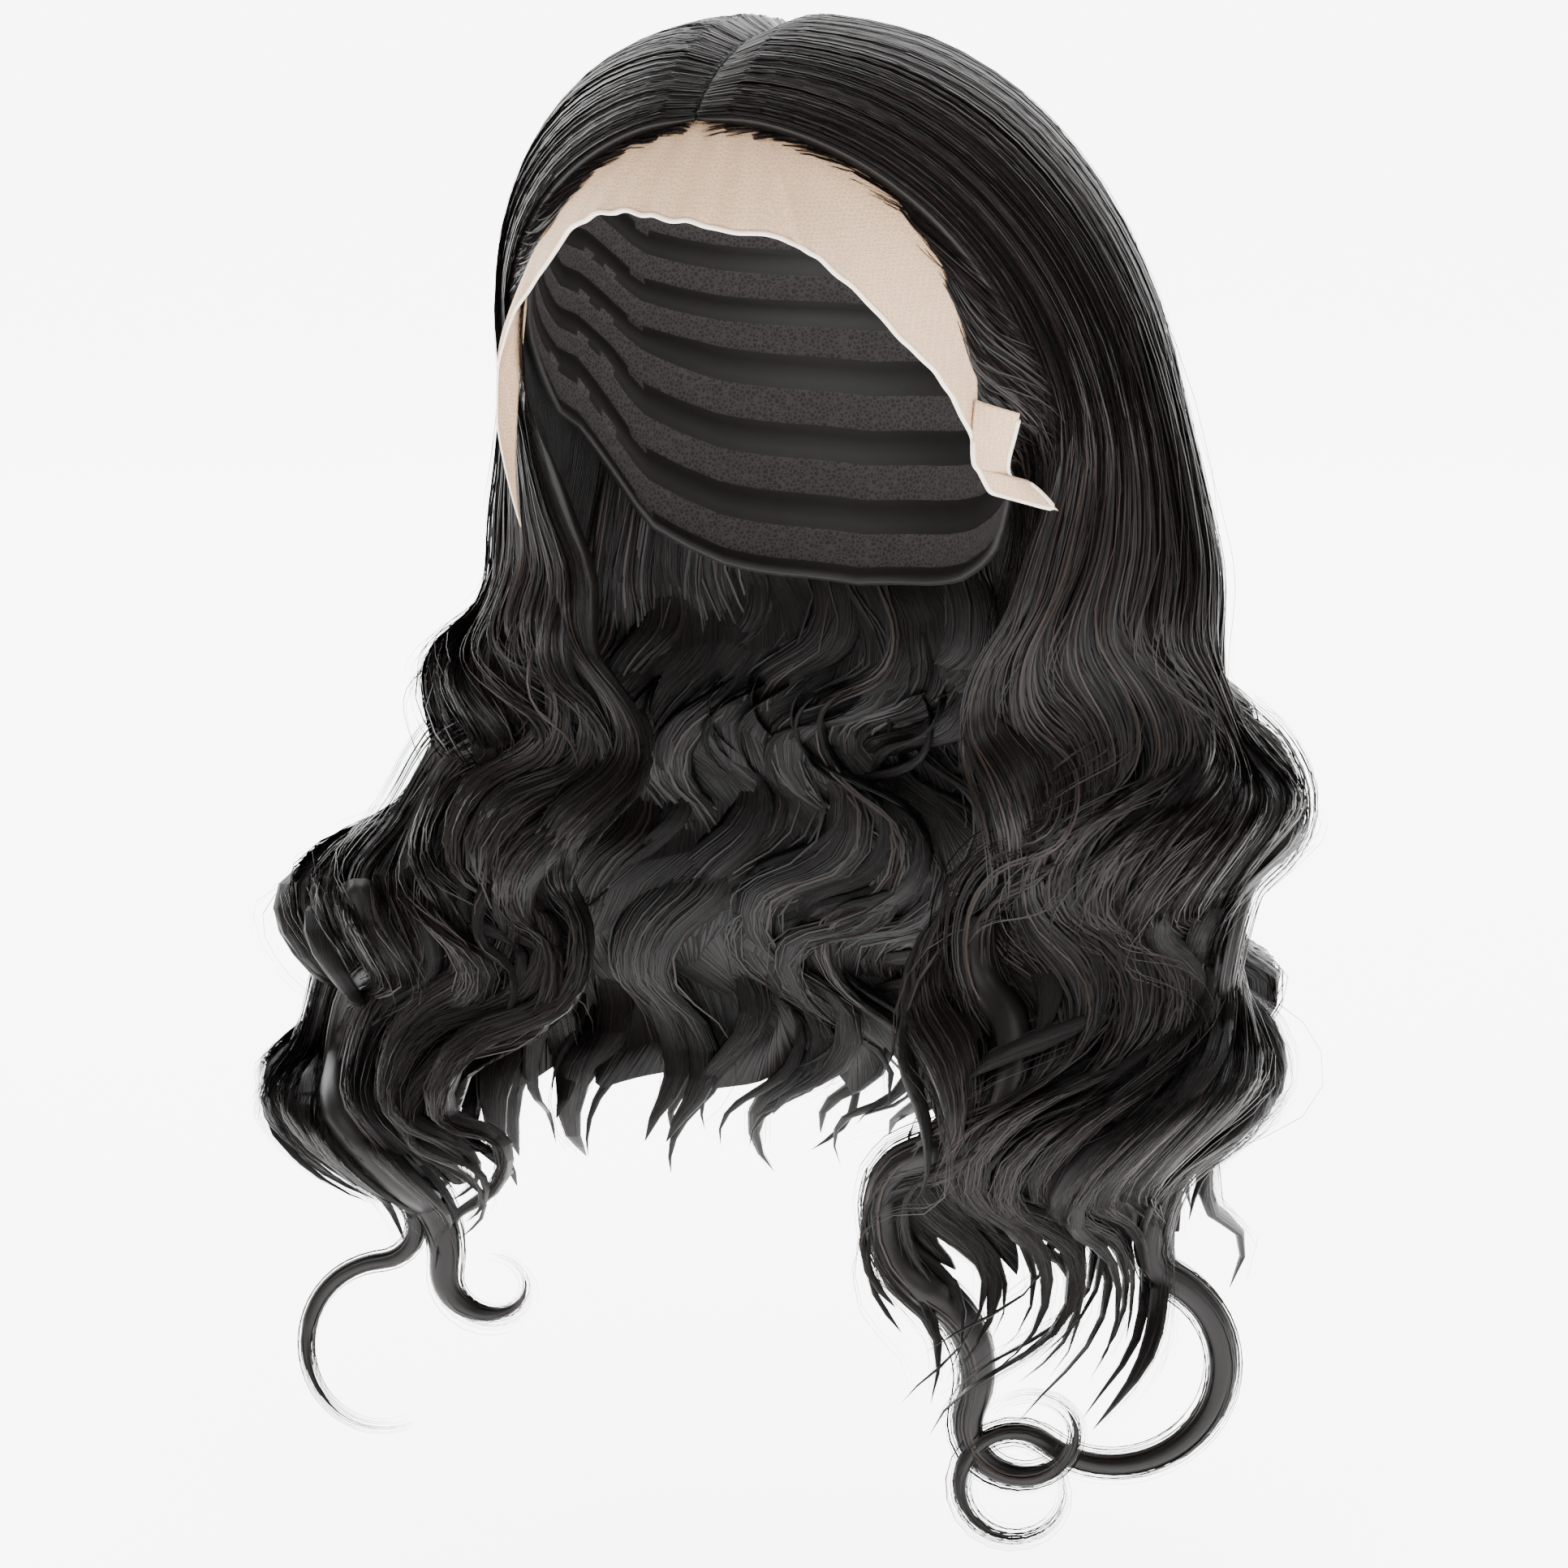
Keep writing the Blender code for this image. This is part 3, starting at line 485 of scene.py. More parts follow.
def hair_points(field, place, row, inside, lead, wave=1.0):
    """Points in the hair: inside is 0 at the outer surface and 1 at the inner one."""
    value = field_at(field, place, row)
    outer, through = value[..., 0:3], value[..., 3:6]
    outward, along = value[..., 6:9], value[..., 9:12]
    turn = 2 * math.pi * (value[..., 14] + lead)
    puff = value[..., 12] * (WAVE_DEEPER * np.cos(turn + WAVE_SKEW * np.sin(turn)) + 1 - WAVE_DEEPER)
    middle = 1 + WAVE_MIDDLE * np.sin(math.pi * np.clip(place, 0, 1)) ** 2
    sway_turn = 2 * math.pi * (value[..., 15] + lead)
    sway = value[..., 13] * middle
    rounder = -WAVE_ROUND * (sway * np.sin(2 * sway_turn) + value[..., 12] * np.sin(2 * turn))
    rolled = 1 - WAVE_INNER_LOSS * np.clip(inside, 0, 1)
    point = outer + outward * (puff * wave * rolled)[..., None] \
        + along * (sway * wave * np.cos(sway_turn))[..., None]
    point[..., 2] += rounder * wave
    return point - through * inside[..., None], through


# Meshes

def new_piece(name, points, faces, uvs=None):
    """Smooth mesh object from point and face arrays, all the faces with as many corners."""
    mesh = bpy.data.meshes.new(name)
    corners = faces.shape[1]
    mesh.vertices.add(len(points))
    mesh.vertices.foreach_set("co", np.ascontiguousarray(points, dtype=np.float32).ravel())
    mesh.loops.add(faces.size)
    mesh.loops.foreach_set("vertex_index", np.ascontiguousarray(faces, dtype=np.int32).ravel())
    mesh.polygons.add(len(faces))
    mesh.polygons.foreach_set("loop_start", np.arange(0, faces.size, corners, dtype=np.int32))
    mesh.polygons.foreach_set("use_smooth", np.ones(len(faces), bool))
    if uvs is not None:
        layer = mesh.uv_layers.new(name="grain")
        layer.uv.foreach_set("vector", np.ascontiguousarray(uvs[faces.ravel()], dtype=np.float32).ravel())
    mesh.update(calc_edges=True)
    mesh.validate()
    piece = bpy.data.objects.new(name, mesh)
    bpy.context.collection.objects.link(piece)
    return piece


def closed_wall(name, inner, outer, wrap=False, uvs=None):
    """Closed wall between two grids of points, wrapped round or not, welded if it has no uvs."""
    columns, rows = inner.shape[:2]
    points = np.concatenate([outer.reshape(-1, 3), inner.reshape(-1, 3)])
    index = np.arange(columns * rows).reshape(columns, rows)
    if wrap:
        index = np.concatenate([index, index[:1]])
    below = index + columns * rows
    a = np.stack([index[:-1, :-1], index[:-1, 1:], index[1:, 1:], index[1:, :-1]], -1)
    b = np.stack([below[:-1, :-1], below[1:, :-1], below[1:, 1:], below[:-1, 1:]], -1)
    rims = [(index[:, 0], below[:, 0]), (index[:, -1], below[:, -1])]
    if not wrap:
        rims += [(index[0], below[0]), (index[-1], below[-1])]
    faces = [a.reshape(-1, 4), b.reshape(-1, 4)]
    faces += [np.stack([u[:-1], u[1:], v[1:], v[:-1]], -1) for u, v in rims]
    piece = new_piece(name, points, np.concatenate(faces), uvs)
    mesh = bmesh.new()
    mesh.from_mesh(piece.data)
    if uvs is None:
        bmesh.ops.remove_doubles(mesh, verts=mesh.verts, dist=0.00001)
    bmesh.ops.recalc_face_normals(mesh, faces=mesh.faces)
    mesh.to_mesh(piece.data)
    mesh.free()
    return piece


def settle(piece, material, slot, *nodes):
    """Give a piece its material, and let it stand for its nodes; the slot is not used."""
    piece.data.materials.append(material)
    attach(piece, "root")
    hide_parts(*nodes)
    return piece


def settle_hair(name, pieces, finish):
    """Settle pieces of hair that stand for one node."""
    for piece in pieces:
        settle(piece, finish, "black_hair", name)


def unit(vectors):
    """The same ways at length one."""
    return vectors / np.maximum(np.linalg.norm(vectors, axis=-1, keepdims=True), 1e-9)


def ribbons(paths, facing, widths, shades):
    """Strand ribbons: paths by points, the way each faces, and half widths along them."""
    count, steps = paths.shape[:2]
    tangent = unit(np.gradient(paths, axis=1))
    sideways = unit(np.cross(tangent, facing))
    left = paths - sideways * widths[..., None]
    right = paths + sideways * widths[..., None]
    points = np.stack([left, right], 2).reshape(-1, 3)
    base = (np.arange(count)[:, None] * steps + np.arange(steps - 1)[None]) * 2
    faces = np.stack([base, base + 1, base + 3, base + 2], -1).reshape(-1, 4)
    down = np.broadcast_to(np.linspace(0, 1, steps)[None, :, None], (count, steps, 2))
    across = np.broadcast_to(shades[:, None, None], (count, steps, 2))
    return points, faces, np.stack([across, down], -1).reshape(-1, 2)


def tube_faces(lines, sides):
    """Faces of a closed tube: its wall, then its two ends."""
    index = np.arange(lines * sides).reshape(lines, sides)
    turned = np.roll(index, -1, 1)
    wall = np.stack([index[:-1], turned[:-1], turned[1:], index[1:]], -1).reshape(-1, 4)
    ends = np.array([[0, k, k + 1, k + 2] for k in range(1, sides - 2, 2)])
    return np.concatenate([wall, ends[:, ::-1], ends + index[-1, 0]])


def tube(line, radii, outward, sides):
    """Closed tube along a line."""
    tangent = unit(np.gradient(line, axis=0))
    sideways = unit(np.cross(tangent, outward))
    outward = np.cross(sideways, tangent)
    turn = np.arange(sides) * 2 * math.pi / sides
    ring = sideways[:, None] * np.cos(turn)[None, :, None] + outward[:, None] * np.sin(turn)[None, :, None]
    points = line[:, None] + radii[:, None, None] * ring
    down = np.repeat(np.linspace(0, 1, len(line)), sides)
    uvs = np.stack([np.tile(turn * 0.01, len(line)), down], -1)
    return points.reshape(-1, 3), tube_faces(len(line), sides), uvs


def join_groups(groups):
    """Points, faces and uvs of several groups, as one."""
    points, faces, uvs, start = [], [], [], 0
    for p, f, u in groups:
        points.append(p)
        faces.append(f + start)
        uvs.append(u)
        start += len(p)
    return np.concatenate(points), np.concatenate(faces), np.concatenate(uvs)


# Finishes

def new_material(name):
    """Material, its node tree and its shader."""
    material = bpy.data.materials.new(name)
    material.use_nodes = True
    tree = material.node_tree
    return material, tree, tree.nodes["Principled BSDF"]


def plain_finish(name, colour, roughness):
    """One even colour, and its shader."""
    material, _, shader = new_material(name)
    shader.inputs["Base Color"].default_value = (*colour, 1.0)
    shader.inputs["Roughness"].default_value = roughness
    return material, shader


def set_inputs(tree, node, inputs):
    """Set a node's inputs to values, or join them to the outputs of other nodes."""
    for name, value in inputs.items():
        if isinstance(value, bpy.types.NodeSocket):
            tree.links.new(value, node.inputs[name])
        else:
            node.inputs[name].default_value = value


def add_node(tree, kind, inputs=None, **values):
    """New node with its values and inputs set."""
    node = tree.nodes.new(kind)
    for key, value in values.items():
        setattr(node, key, value)
    set_inputs(tree, node, inputs or {})
    return node


def colour_ramp(tree, share, *stops):
    """Colour that runs between two stops, each a place and a colour."""
    ramp = add_node(tree, "ShaderNodeValToRGB", {"Fac": share})
    for element, (place, colour) in zip(ramp.color_ramp.elements, stops):
        element.position = place
        element.color = (*colour, 1.0)
    return ramp.outputs["Color"]


def hair_finish(name, colours, bumpy):
    """Near-black hair with a few browner strands, and a fine grain if bumpy."""
    material, tree, shader = new_material(name)
    grain = add_node(tree, "ShaderNodeUVMap", uv_map="grain").outputs["UV"]
    if bumpy:
        stretch = add_node(tree, "ShaderNodeMapping", {"Vector": grain, "Scale": (420.0, 7.0, 1.0)})
        noise = add_node(tree, "ShaderNodeTexNoise",
                         {"Vector": stretch.outputs["Vector"], "Scale": 1.0, "Detail": 3.0})
        share = noise.outputs["Fac"]
        bump = add_node(tree, "ShaderNodeBump", {"Height": share, "Strength": 0.8, "Distance": 0.0014})
        set_inputs(tree, shader, {"Normal": bump.outputs["Normal"]})
    else:
        share = add_node(tree, "ShaderNodeSeparateXYZ", {"Vector": grain}).outputs["X"]
    colour = colour_ramp(tree, share, (0.55, colours.hair), (1.0, colours.hair_warm))
    set_inputs(tree, shader, {"Base Color": colour, "Roughness": 0.40, "Specular IOR Level": 0.16})
    return material


def net_finish(colours):
    """Matt black knitted net of the cap."""
    material, tree, shader = new_material("cap_net_finish")
    place = add_node(tree, "ShaderNodeTexCoord").outputs["Object"]
    cells = add_node(tree, "ShaderNodeTexVoronoi", {"Vector": place, "Scale": 620.0},
                     feature="DISTANCE_TO_EDGE").outputs["Distance"]
    thread = [2.0 * value for value in colours.cap_net]
    colour = colour_ramp(tree, cells, (0.04, thread), (0.20, colours.cap_net))
    bump = add_node(tree, "ShaderNodeBump", {"Height": cells, "Strength": 0.6, "Distance": 0.0004},
                    invert=True)
    set_inputs(tree, shader, {"Base Color": colour, "Normal": bump.outputs["Normal"],
                              "Roughness": 0.85, "Specular IOR Level": 0.15})
    return material


def lace_finish(colours):
    """Sheer tinted net: fine threads, and a thinner tint between them."""
    material, tree, shader = new_material("sheer_lace_finish")
    place = add_node(tree, "ShaderNodeTexCoord").outputs["Object"]
    cells = add_node(tree, "ShaderNodeTexVoronoi", {"Vector": place, "Scale": 760.0, "Randomness": 0.55},
                     feature="DISTANCE_TO_EDGE").outputs["Distance"]
    thread = add_node(tree, "ShaderNodeMapRange",
                      {"Value": cells, "From Min": 0.05, "From Max": 0.22, "To Min": 1.0, "To Max": 0.0},
                      interpolation_type="SMOOTHSTEP").outputs["Result"]
    cloud = add_node(tree, "ShaderNodeTexNoise", {"Vector": place, "Scale": 38.0, "Detail": 4.0})
    tint = add_node(tree, "ShaderNodeMix",
                    {"Factor": cloud.outputs["Fac"], "A": (*colours.lace, 1.0),
                     "B": (*colours.lace_shade, 1.0)}, data_type="RGBA")
    clear = add_node(tree, "ShaderNodeMapRange", {"Value": thread, "To Min": 0.80, "To Max": 1.0})
    bump = add_node(tree, "ShaderNodeBump", {"Height": thread, "Strength": 0.5, "Distance": 0.0002})
    set_inputs(tree, shader, {"Base Color": tint.outputs["Result"], "Alpha": clear.outputs["Result"],
                              "Normal": bump.outputs["Normal"], "Roughness": 0.62})
    return material


# Hair

def layer_values(name, layer):
    """Values of one layer of locks, with how the ends of its piece draw together."""
    pull_to, pull, unlike = DRAWN[name]
    values = dict(LAYERS[layer], pull_to=pull_to, pull=pull)
    values["lead"] *= unlike
    return values


def front_thickness(name, place):
    """Share of its full thickness that a combed body has near its front edge."""
    if name == "hair_back":
        return np.ones_like(place)
    return np.minimum(1.0, place / 0.14)


def hair_mass(name, columns, lines, seed):
    """Closed combed body under the loose strands: fine ridges, and a ragged lower end."""
    rng = np.random.default_rng(seed)
    field = hair_field(name)
    place = np.linspace(0.0, 1.0, columns)
    down = np.linspace(0.0, 1.0, lines)
    ragged = np.interp(place, np.linspace(0, 1, RAGGED_KNOTS), rng.uniform(-0.12, 0.10, RAGGED_KNOTS))
    rows = down[None, :] * (MASS_END + ragged)[:, None]
    places = np.repeat(place[:, None], lines, 1)
    knots = np.linspace(0, 1, RIDGE_KNOTS)
    ridges = rng.uniform(0.0, 1.0, (columns, RIDGE_KNOTS))
    fine = np.array([np.interp(down, knots, ridge) for ridge in ridges])
    fallen = smooth_step((rows - 4.5) / 3.0)
    edge = front_thickness(name, places)
    sunk = (1 - smooth_step(rows / 0.7)) * 0.35
    taper = smooth_step((rows - (MASS_END - MASS_TAPER)) / MASS_TAPER)
    top = 0.14 + sunk + 0.05 * fine + 0.20 * fallen + (1 - edge) * 0.25
    top = top + (0.50 - top) * taper
    low = 0.88 if name == "hair_back" else 1.0
    low = low - 0.22 * (1 - edge) * smooth_step((rows - HEAD_KNOTS) / 1.5)
    low = low + (0.62 - low) * taper
    lead = 0.03 * np.sin(places * 17 + seed)
    places = drawn_together(places, rows, layer_values(name, "outer"))
    outer = hair_points(field, places, rows, top, lead)[0]
    inner = hair_points(field, places, rows, low, lead)[0]
    uvs = np.stack([places, rows / LAST_KNOT], -1).reshape(-1, 2)
    return closed_wall(name + "_mass", inner, outer, uvs=np.concatenate([uvs, uvs]))


def strand_rows(starts, ends, steps):
    """Places down the strands, closer together in the waves than on the cap."""
    down = np.linspace(0, 1, steps)[None]
    bend = HEAD_KNOTS * down / HEAD_STEPS
    fall = HEAD_KNOTS + (ends[:, None] - HEAD_KNOTS) * (down - HEAD_STEPS) / (1 - HEAD_STEPS)
    full = np.where(down < HEAD_STEPS, bend, fall)
    return starts[:, None] + (ends - starts)[:, None] * full / ends[:, None]


def lock_values(rng, locks, layer):
    """Place, half width, lead, reach, height, strength and twist of each lock of a layer."""
    centre = (np.arange(locks) + 0.5 + rng.uniform(-0.3, 0.3, locks)) / locks
    half = rng.uniform(0.62, 0.95, locks) / locks
    lead = rng.normal(0.0, layer["lead"], locks)
    reach = rng.uniform(layer["short"], 0.99, locks)
    height = rng.uniform(-0.06, layer["stagger"], locks)
    strong = rng.uniform(0.80, 1.20, locks)
    phase = rng.uniform(0, 2 * math.pi, locks)
    return centre, half, lead, reach, height, strong, phase


def pointed(rows, reach):
    """Share of its full width that a lock keeps, down to its own point."""
    left = np.clip((LAST_KNOT * reach - rows) / POINT_RUN, 0, 1)
    return 0.02 + 0.98 * np.sin(0.5 * math.pi * left) ** 0.8


def drawn_together(place, rows, layer):
    """Places across a piece, drawn together towards its lower end."""
    share = layer["pull"] * smooth_step((rows - DRAW_ROW) / DRAW_RUN)
    return place + (layer["pull_to"] - place) * share


def free_share(rows):
    """How freely a lock moves: not on the cap, and fully in the fall."""
    return smooth_step((rows - FREE_ROW) / FREE_RUN)


def tip_wave(rows):
    """Share of its wave that a lock keeps towards its tip."""
    return 1.0 + TIP_WAVE * smooth_step((rows - TIP_ROW) / TIP_RUN)


def root_sink(rows):
    """How deep the roots lie beside the parting."""
    return ROOT_SINK * (1 - smooth_step((rows + 0.05) / ROOT_SINK_RUN))


def lock_bodies(name, layer, locks, lines, near, far, seed, start=0.0):
    """Closed tapering bodies of the locks of one layer, under their strands."""
    rng = np.random.default_rng(seed)
    field = hair_field(name)
    values = layer_values(name, layer)
    centre, half, lead, reach, height, strong, _ = lock_values(rng, locks, values)
    around = 2 * math.pi * np.arange(LOCK_SIDES) / LOCK_SIDES
    if start > 0:
        down = np.linspace(0, 1, lines)[None]
        rows = (start + (LAST_KNOT * reach - start)[:, None] * down)[:, :, None]
        opened = np.maximum(smooth_step((rows - start) / OPENING_RUN), 0.03)
    else:
        rows = strand_rows(np.zeros(locks), LAST_KNOT * reach, lines)[:, :, None]
        opened = np.clip(rows / 0.3 + 0.2, 0, 1)
    fallen = free_share(rows)
    taper = pointed(rows, reach[:, None, None])
    wide = np.interp(rows, SPREAD_ROWS, SPREAD) * LOCK_WIDTH * taper * opened
    across = np.cos(around)[None, None] * wide
    place = np.clip(centre[:, None, None] + half[:, None, None] * across, 0.004, 0.996)
    place = drawn_together(place, rows, values)
    middle = 0.5 * (near + far)
    inside = middle - 0.5 * (far - near) * np.sin(around)[None, None] * taper
    if start > 0:
        inside = inside + ROOT_SINK * (1 - opened)
    inside = inside + height[:, None, None] * fallen * np.sign(far - near)
    inside = inside + (near - middle) * (1 - taper) * 0.6
    inside = inside + root_sink(rows)
    shift = (lead[:, None, None] + 0.04 * across) * fallen
    wave = tip_wave(rows) * values["wave"] * strong[:, None, None]
    rows = np.broadcast_to(rows, place.shape)
    points = hair_points(field, place, rows, inside, shift, wave)[0]
    size = lines * LOCK_SIDES
    faces = np.concatenate([tube_faces(lines, LOCK_SIDES) + k * size for k in range(locks)])
    shade = np.repeat(rng.uniform(0, 1, locks), size) + np.tile(np.arange(LOCK_SIDES) * 0.018, locks * lines)
    uvs = np.stack([shade, rows.ravel() / LAST_KNOT], -1)
    return new_piece(name + "_" + layer + "_locks", points.reshape(-1, 3), faces, uvs)


def strand_paths(field, rng, locks, per_lock, steps, layer):
    """Points of the strands of one layer, gathered into locks as they fall."""
    count = locks * per_lock
    values = lock_values(rng, locks, layer)
    centre, half, lead, reach, height, strong, phase = [np.repeat(v, per_lock) for v in values]
    x = np.clip(rng.normal(0.0, 0.50, count), -1.15, 1.15)
    y = rng.uniform(0.0, 1.0, count)
    ends = LAST_KNOT * reach * rng.uniform(0.93, 1.0, count)
    starts = rng.uniform(0.0, 0.15, count) if layer["rooted"] else rng.uniform(0.0, 4.5, count)
    rows = strand_rows(starts, ends, steps)
    spread = np.interp(rows, SPREAD_ROWS, SPREAD) * pointed(rows, reach[:, None])
    fallen = free_share(rows)
    twist = 0.7 * np.sin(rows * 2.3 + phase[:, None]) * fallen
    across = (x[:, None] * np.cos(twist) - (y[:, None] - 0.5) * np.sin(twist)) * spread
    through = np.abs(x[:, None] * np.sin(twist)) * 0.5 + y[:, None] * np.cos(twist)
    wander = rng.normal(0, 1, (count, 2))
    pitch = rng.uniform(0.9, 2.4, (count, 2))
    swing = rng.uniform(0, 2 * math.pi, (count, 2))
    stray = wander[:, :1] * np.sin(rows * pitch[:, :1] + swing[:, :1]) * layer["stray"]
    lift = wander[:, 1:] * np.sin(rows * pitch[:, 1:] + swing[:, 1:]) * layer["stray"]
    place = centre[:, None] + half[:, None] * (across + stray * (0.25 + fallen))
    place = np.clip(place, 0.002, 0.998)
    place = drawn_together(place, rows, layer)
    dip = 0.26 * across ** 2 * fallen
    inside = layer["top"] + (layer["low"] - layer["top"]) * through
    side = 1 if layer["low"] >= layer["top"] else -1
    inside = inside + side * (height[:, None] * fallen + dip) + 0.10 * lift * (0.2 + fallen)
    inside = inside + root_sink(rows)
    if side > 0:
        inside = np.maximum(inside, layer["top"] - layer["proud"])
    else:
        inside = np.minimum(inside, layer["top"] + layer["proud"])
    shift = (lead[:, None] + 0.04 * across) * fallen
    wave = tip_wave(rows) * layer["wave"] * strong[:, None]
    points, thick = hair_points(field, place, rows, inside, shift, wave)
    return points, unit(thick)


def strand_ribbons(points, facing, rng, width):
    """Ribbons for strand paths, each rolled a little round its own line."""
    count, steps = points.shape[:2]
    tangent = unit(np.gradient(points, axis=1))
    sideways = unit(np.cross(tangent, facing))
    normal = np.cross(sideways, tangent)
    roll = rng.normal(0, 0.26, (count, 1)) + rng.normal(0, 0.20, (count, 1)) \
        * np.sin(np.linspace(0, 9, steps)[None] + rng.uniform(0, 6.3, (count, 1)))
    facing = normal * np.cos(roll)[..., None] + sideways * np.sin(roll)[..., None]
    down = np.linspace(0, 1, steps)
    shape = np.minimum(1.0, 0.45 + down * 8) * (1 - 0.85 * smooth_step((down - 0.80) / 0.20))
    widths = 0.5 * width * rng.uniform(0.6, 1.3, (count, 1)) * shape[None]
    return ribbons(points, facing, widths, rng.uniform(0, 1, count))


def hair_strands(name, layer, locks, per_lock, steps, width, seed):
    """Strands of one layer of one piece of hair."""
    rng = np.random.default_rng(seed)
    field = hair_field(name)
    points, facing = strand_paths(field, rng, locks, per_lock, steps, layer_values(name, layer))
    if layer == "inner":
        facing = -facing
    return new_piece(name + "_" + layer, *strand_ribbons(points, facing, rng, width))


# Curled tips

def curl_ways():
    """Level way in the plane of the curls, and the way out of it towards the front."""
    facing = math.radians(CURL_FACING)
    level_way = np.array([math.cos(facing), math.sin(facing), 0.0])
    return level_way, np.array([math.sin(facing), -math.cos(facing), 0.0])


def curl_width(thick, share):
    """Width of a curl at a share of its way round."""
    return CURL_TIP + (thick - CURL_TIP) * (1 - share) ** CURL_THINNING


def curl_line(row, above):
    """Centre line of a curled tip: down the fall, then round its bends in the curl's plane."""
    name, across, leave = row[:3]
    rows = np.linspace(leave - above, leave, 34)
    place = np.full_like(rows, across / SIDE_SHARE)
    inside = 0.5 - 0.25 * (1 - smooth_step((rows - leave + above) / above))
    run = hair_points(hair_field(name), place, rows, inside, 0.0)[0]
    level_way, drift = curl_ways()
    down = np.array([0.0, 0.0, -1.0])
    last = run[-1] - run[-2]
    heading = math.atan2(float(last @ level_way), float(last @ down))
    points = list(run)
    place = run[-1]
    for radius, aim in zip(row[3:-1:2], row[4:-1:2]):
        sweep = math.radians(aim) - heading
        steps = max(2, round(abs(sweep) * radius / CURL_STEP))
        for _ in range(steps):
            heading += sweep / steps / 2
            place = place + (math.sin(heading) * level_way + math.cos(heading) * down) \
                * abs(sweep) * radius / steps
            heading += sweep / steps / 2
            points.append(place)
    points = np.array(points)
    free = np.clip((np.arange(len(points)) - len(run)) / (len(points) - len(run)), 0, 1)
    return points + drift * (CURL_DRIFT * smooth_step(free * 1.6 - 0.6))[:, None], len(run)


def curl_strands(row, count, steps, width, seed):
    """Strands of one curled tip, gathered from the fall and thinning round the curl."""
    rng = np.random.default_rng(seed)
    path, root = curl_line(row, CURL_STRAND_RUN)
    step = np.linalg.norm(np.diff(path, axis=0), axis=1)
    along = np.concatenate([[0], np.cumsum(step)])
    normal = curl_ways()[1]
    ends = along[-1] * (1 - 0.42 * rng.uniform(0, 1, count) ** 1.8)
    reach = ends[:, None] * np.linspace(0, 1, steps)[None]
    line = np.stack([np.interp(reach, along, path[:, k]) for k in range(3)], -1)
    tangent = unit(np.gradient(line, axis=1))
    sideways = unit(np.cross(tangent, normal))
    share = np.clip((reach - along[root]) / (along[-1] - along[root]), 0, 1)
    above = np.clip(1 - reach / along[root], 0, 1)
    half = 0.5 * curl_width(row[-1], share)
    half = half * (1.0 + 0.9 * above)
    turn = rng.uniform(0, 2 * math.pi, (count, 1)) + 1.2 * share * rng.normal(1, 0.3, (count, 1))
    size = np.sqrt(rng.uniform(0, 1, (count, 1)))
    loose = 1.0 + 1.1 * smooth_step(share) * rng.uniform(0, 1, (count, 1)) ** 3
    x = half * size * np.cos(turn) * loose
    y = 0.7 * half * size * np.sin(turn) * loose
    points = line + sideways * x[..., None] + normal * y[..., None]
    away = unit(sideways * x[..., None] + normal * y[..., None])
    return strand_ribbons(points, away, rng, width)


def curl_core(row):
    """Dense middle of one curled tip."""
    path, root = curl_line(row, CURL_CORE_RUN)
    count = int(root + (len(path) - root) * CURL_CORE_LENGTH)
    share = np.clip((np.arange(count) - root) / (len(path) - root), 0, 1)
    radii = CURL_CORE_SHARE * curl_width(row[-1], share)
    radii = radii * np.minimum(1.0, (count - np.arange(count)) / 18.0) + 0.0001
    return tube(path[:count], radii, curl_ways()[1][None], CURL_CORE_SIDES)


def curled_tips(name, count, steps, width, seed):
    """Curled tips of one side piece: strands round a dense middle."""
    rows = [row for row in CURLS if row[0] == name]
    groups = [curl_strands(row, count, steps, width, seed + k) for k, row in enumerate(rows)]
    groups += [curl_core(row) for row in rows]
    return new_piece(name + "_curls", *join_groups(groups))


# Cap and lace

def edge_drop(turn, column):
    """One value of the front edge at a turn."""
    table = np.array(FRONT_EDGE, float)
    return np.interp(turn, table[:, 0], table[:, column])


def meridian(drop):
    """Angle down from the hollow's top of a point at a drop below it."""
    height = np.where(drop < CROWN_HEIGHT, CROWN_HEIGHT, NAPE_DEPTH)
    level = np.clip((CROWN_HEIGHT - drop) / height, -0.999, 0.9999)
    around = (1 - np.abs(level) ** HEAD_FULLNESS) ** (1 / HEAD_FULLNESS)
    return np.arctan2(around, level)


def meridian_point(turn, angle, offset):
    """Point on the hollow's curve at a turn round and an angle down from the top, stood off outwards."""
    turn = np.radians(turn)
    across = np.sin(turn) / HEAD_HALF_WIDTH
    along = -np.cos(turn) / HEAD_HALF_DEPTH
    length = np.hypot(across, along)
    direction = np.stack([across / length * np.sin(angle), along / length * np.sin(angle),
                          np.cos(angle)], -1)
    return head_surface(direction, offset)


def cap_edge_angle(turn):
    """Angle down to the cap's edge: behind the hairline in front, and round the nape."""
    size = np.abs(turn)
    table = np.array(CAP_EDGE, float)
    rear = np.interp(size, table[:, 0], table[:, 1])
    share = smooth_step((size - 66) / 24)
    front_angle = meridian(edge_drop(turn, 1)) - LACE_UNDERLAP / CROWN_HEIGHT
    return front_angle + (meridian(rear) - front_angle) * share


def cap_columns_angle(turn):
    """Angle down to the cap's edge, straight between its columns as in the solid."""
    posts = np.arange(CAP_COLUMNS + 1) * 360.0 / CAP_COLUMNS - 180.0
    return np.interp(turn, posts, cap_edge_angle(posts))


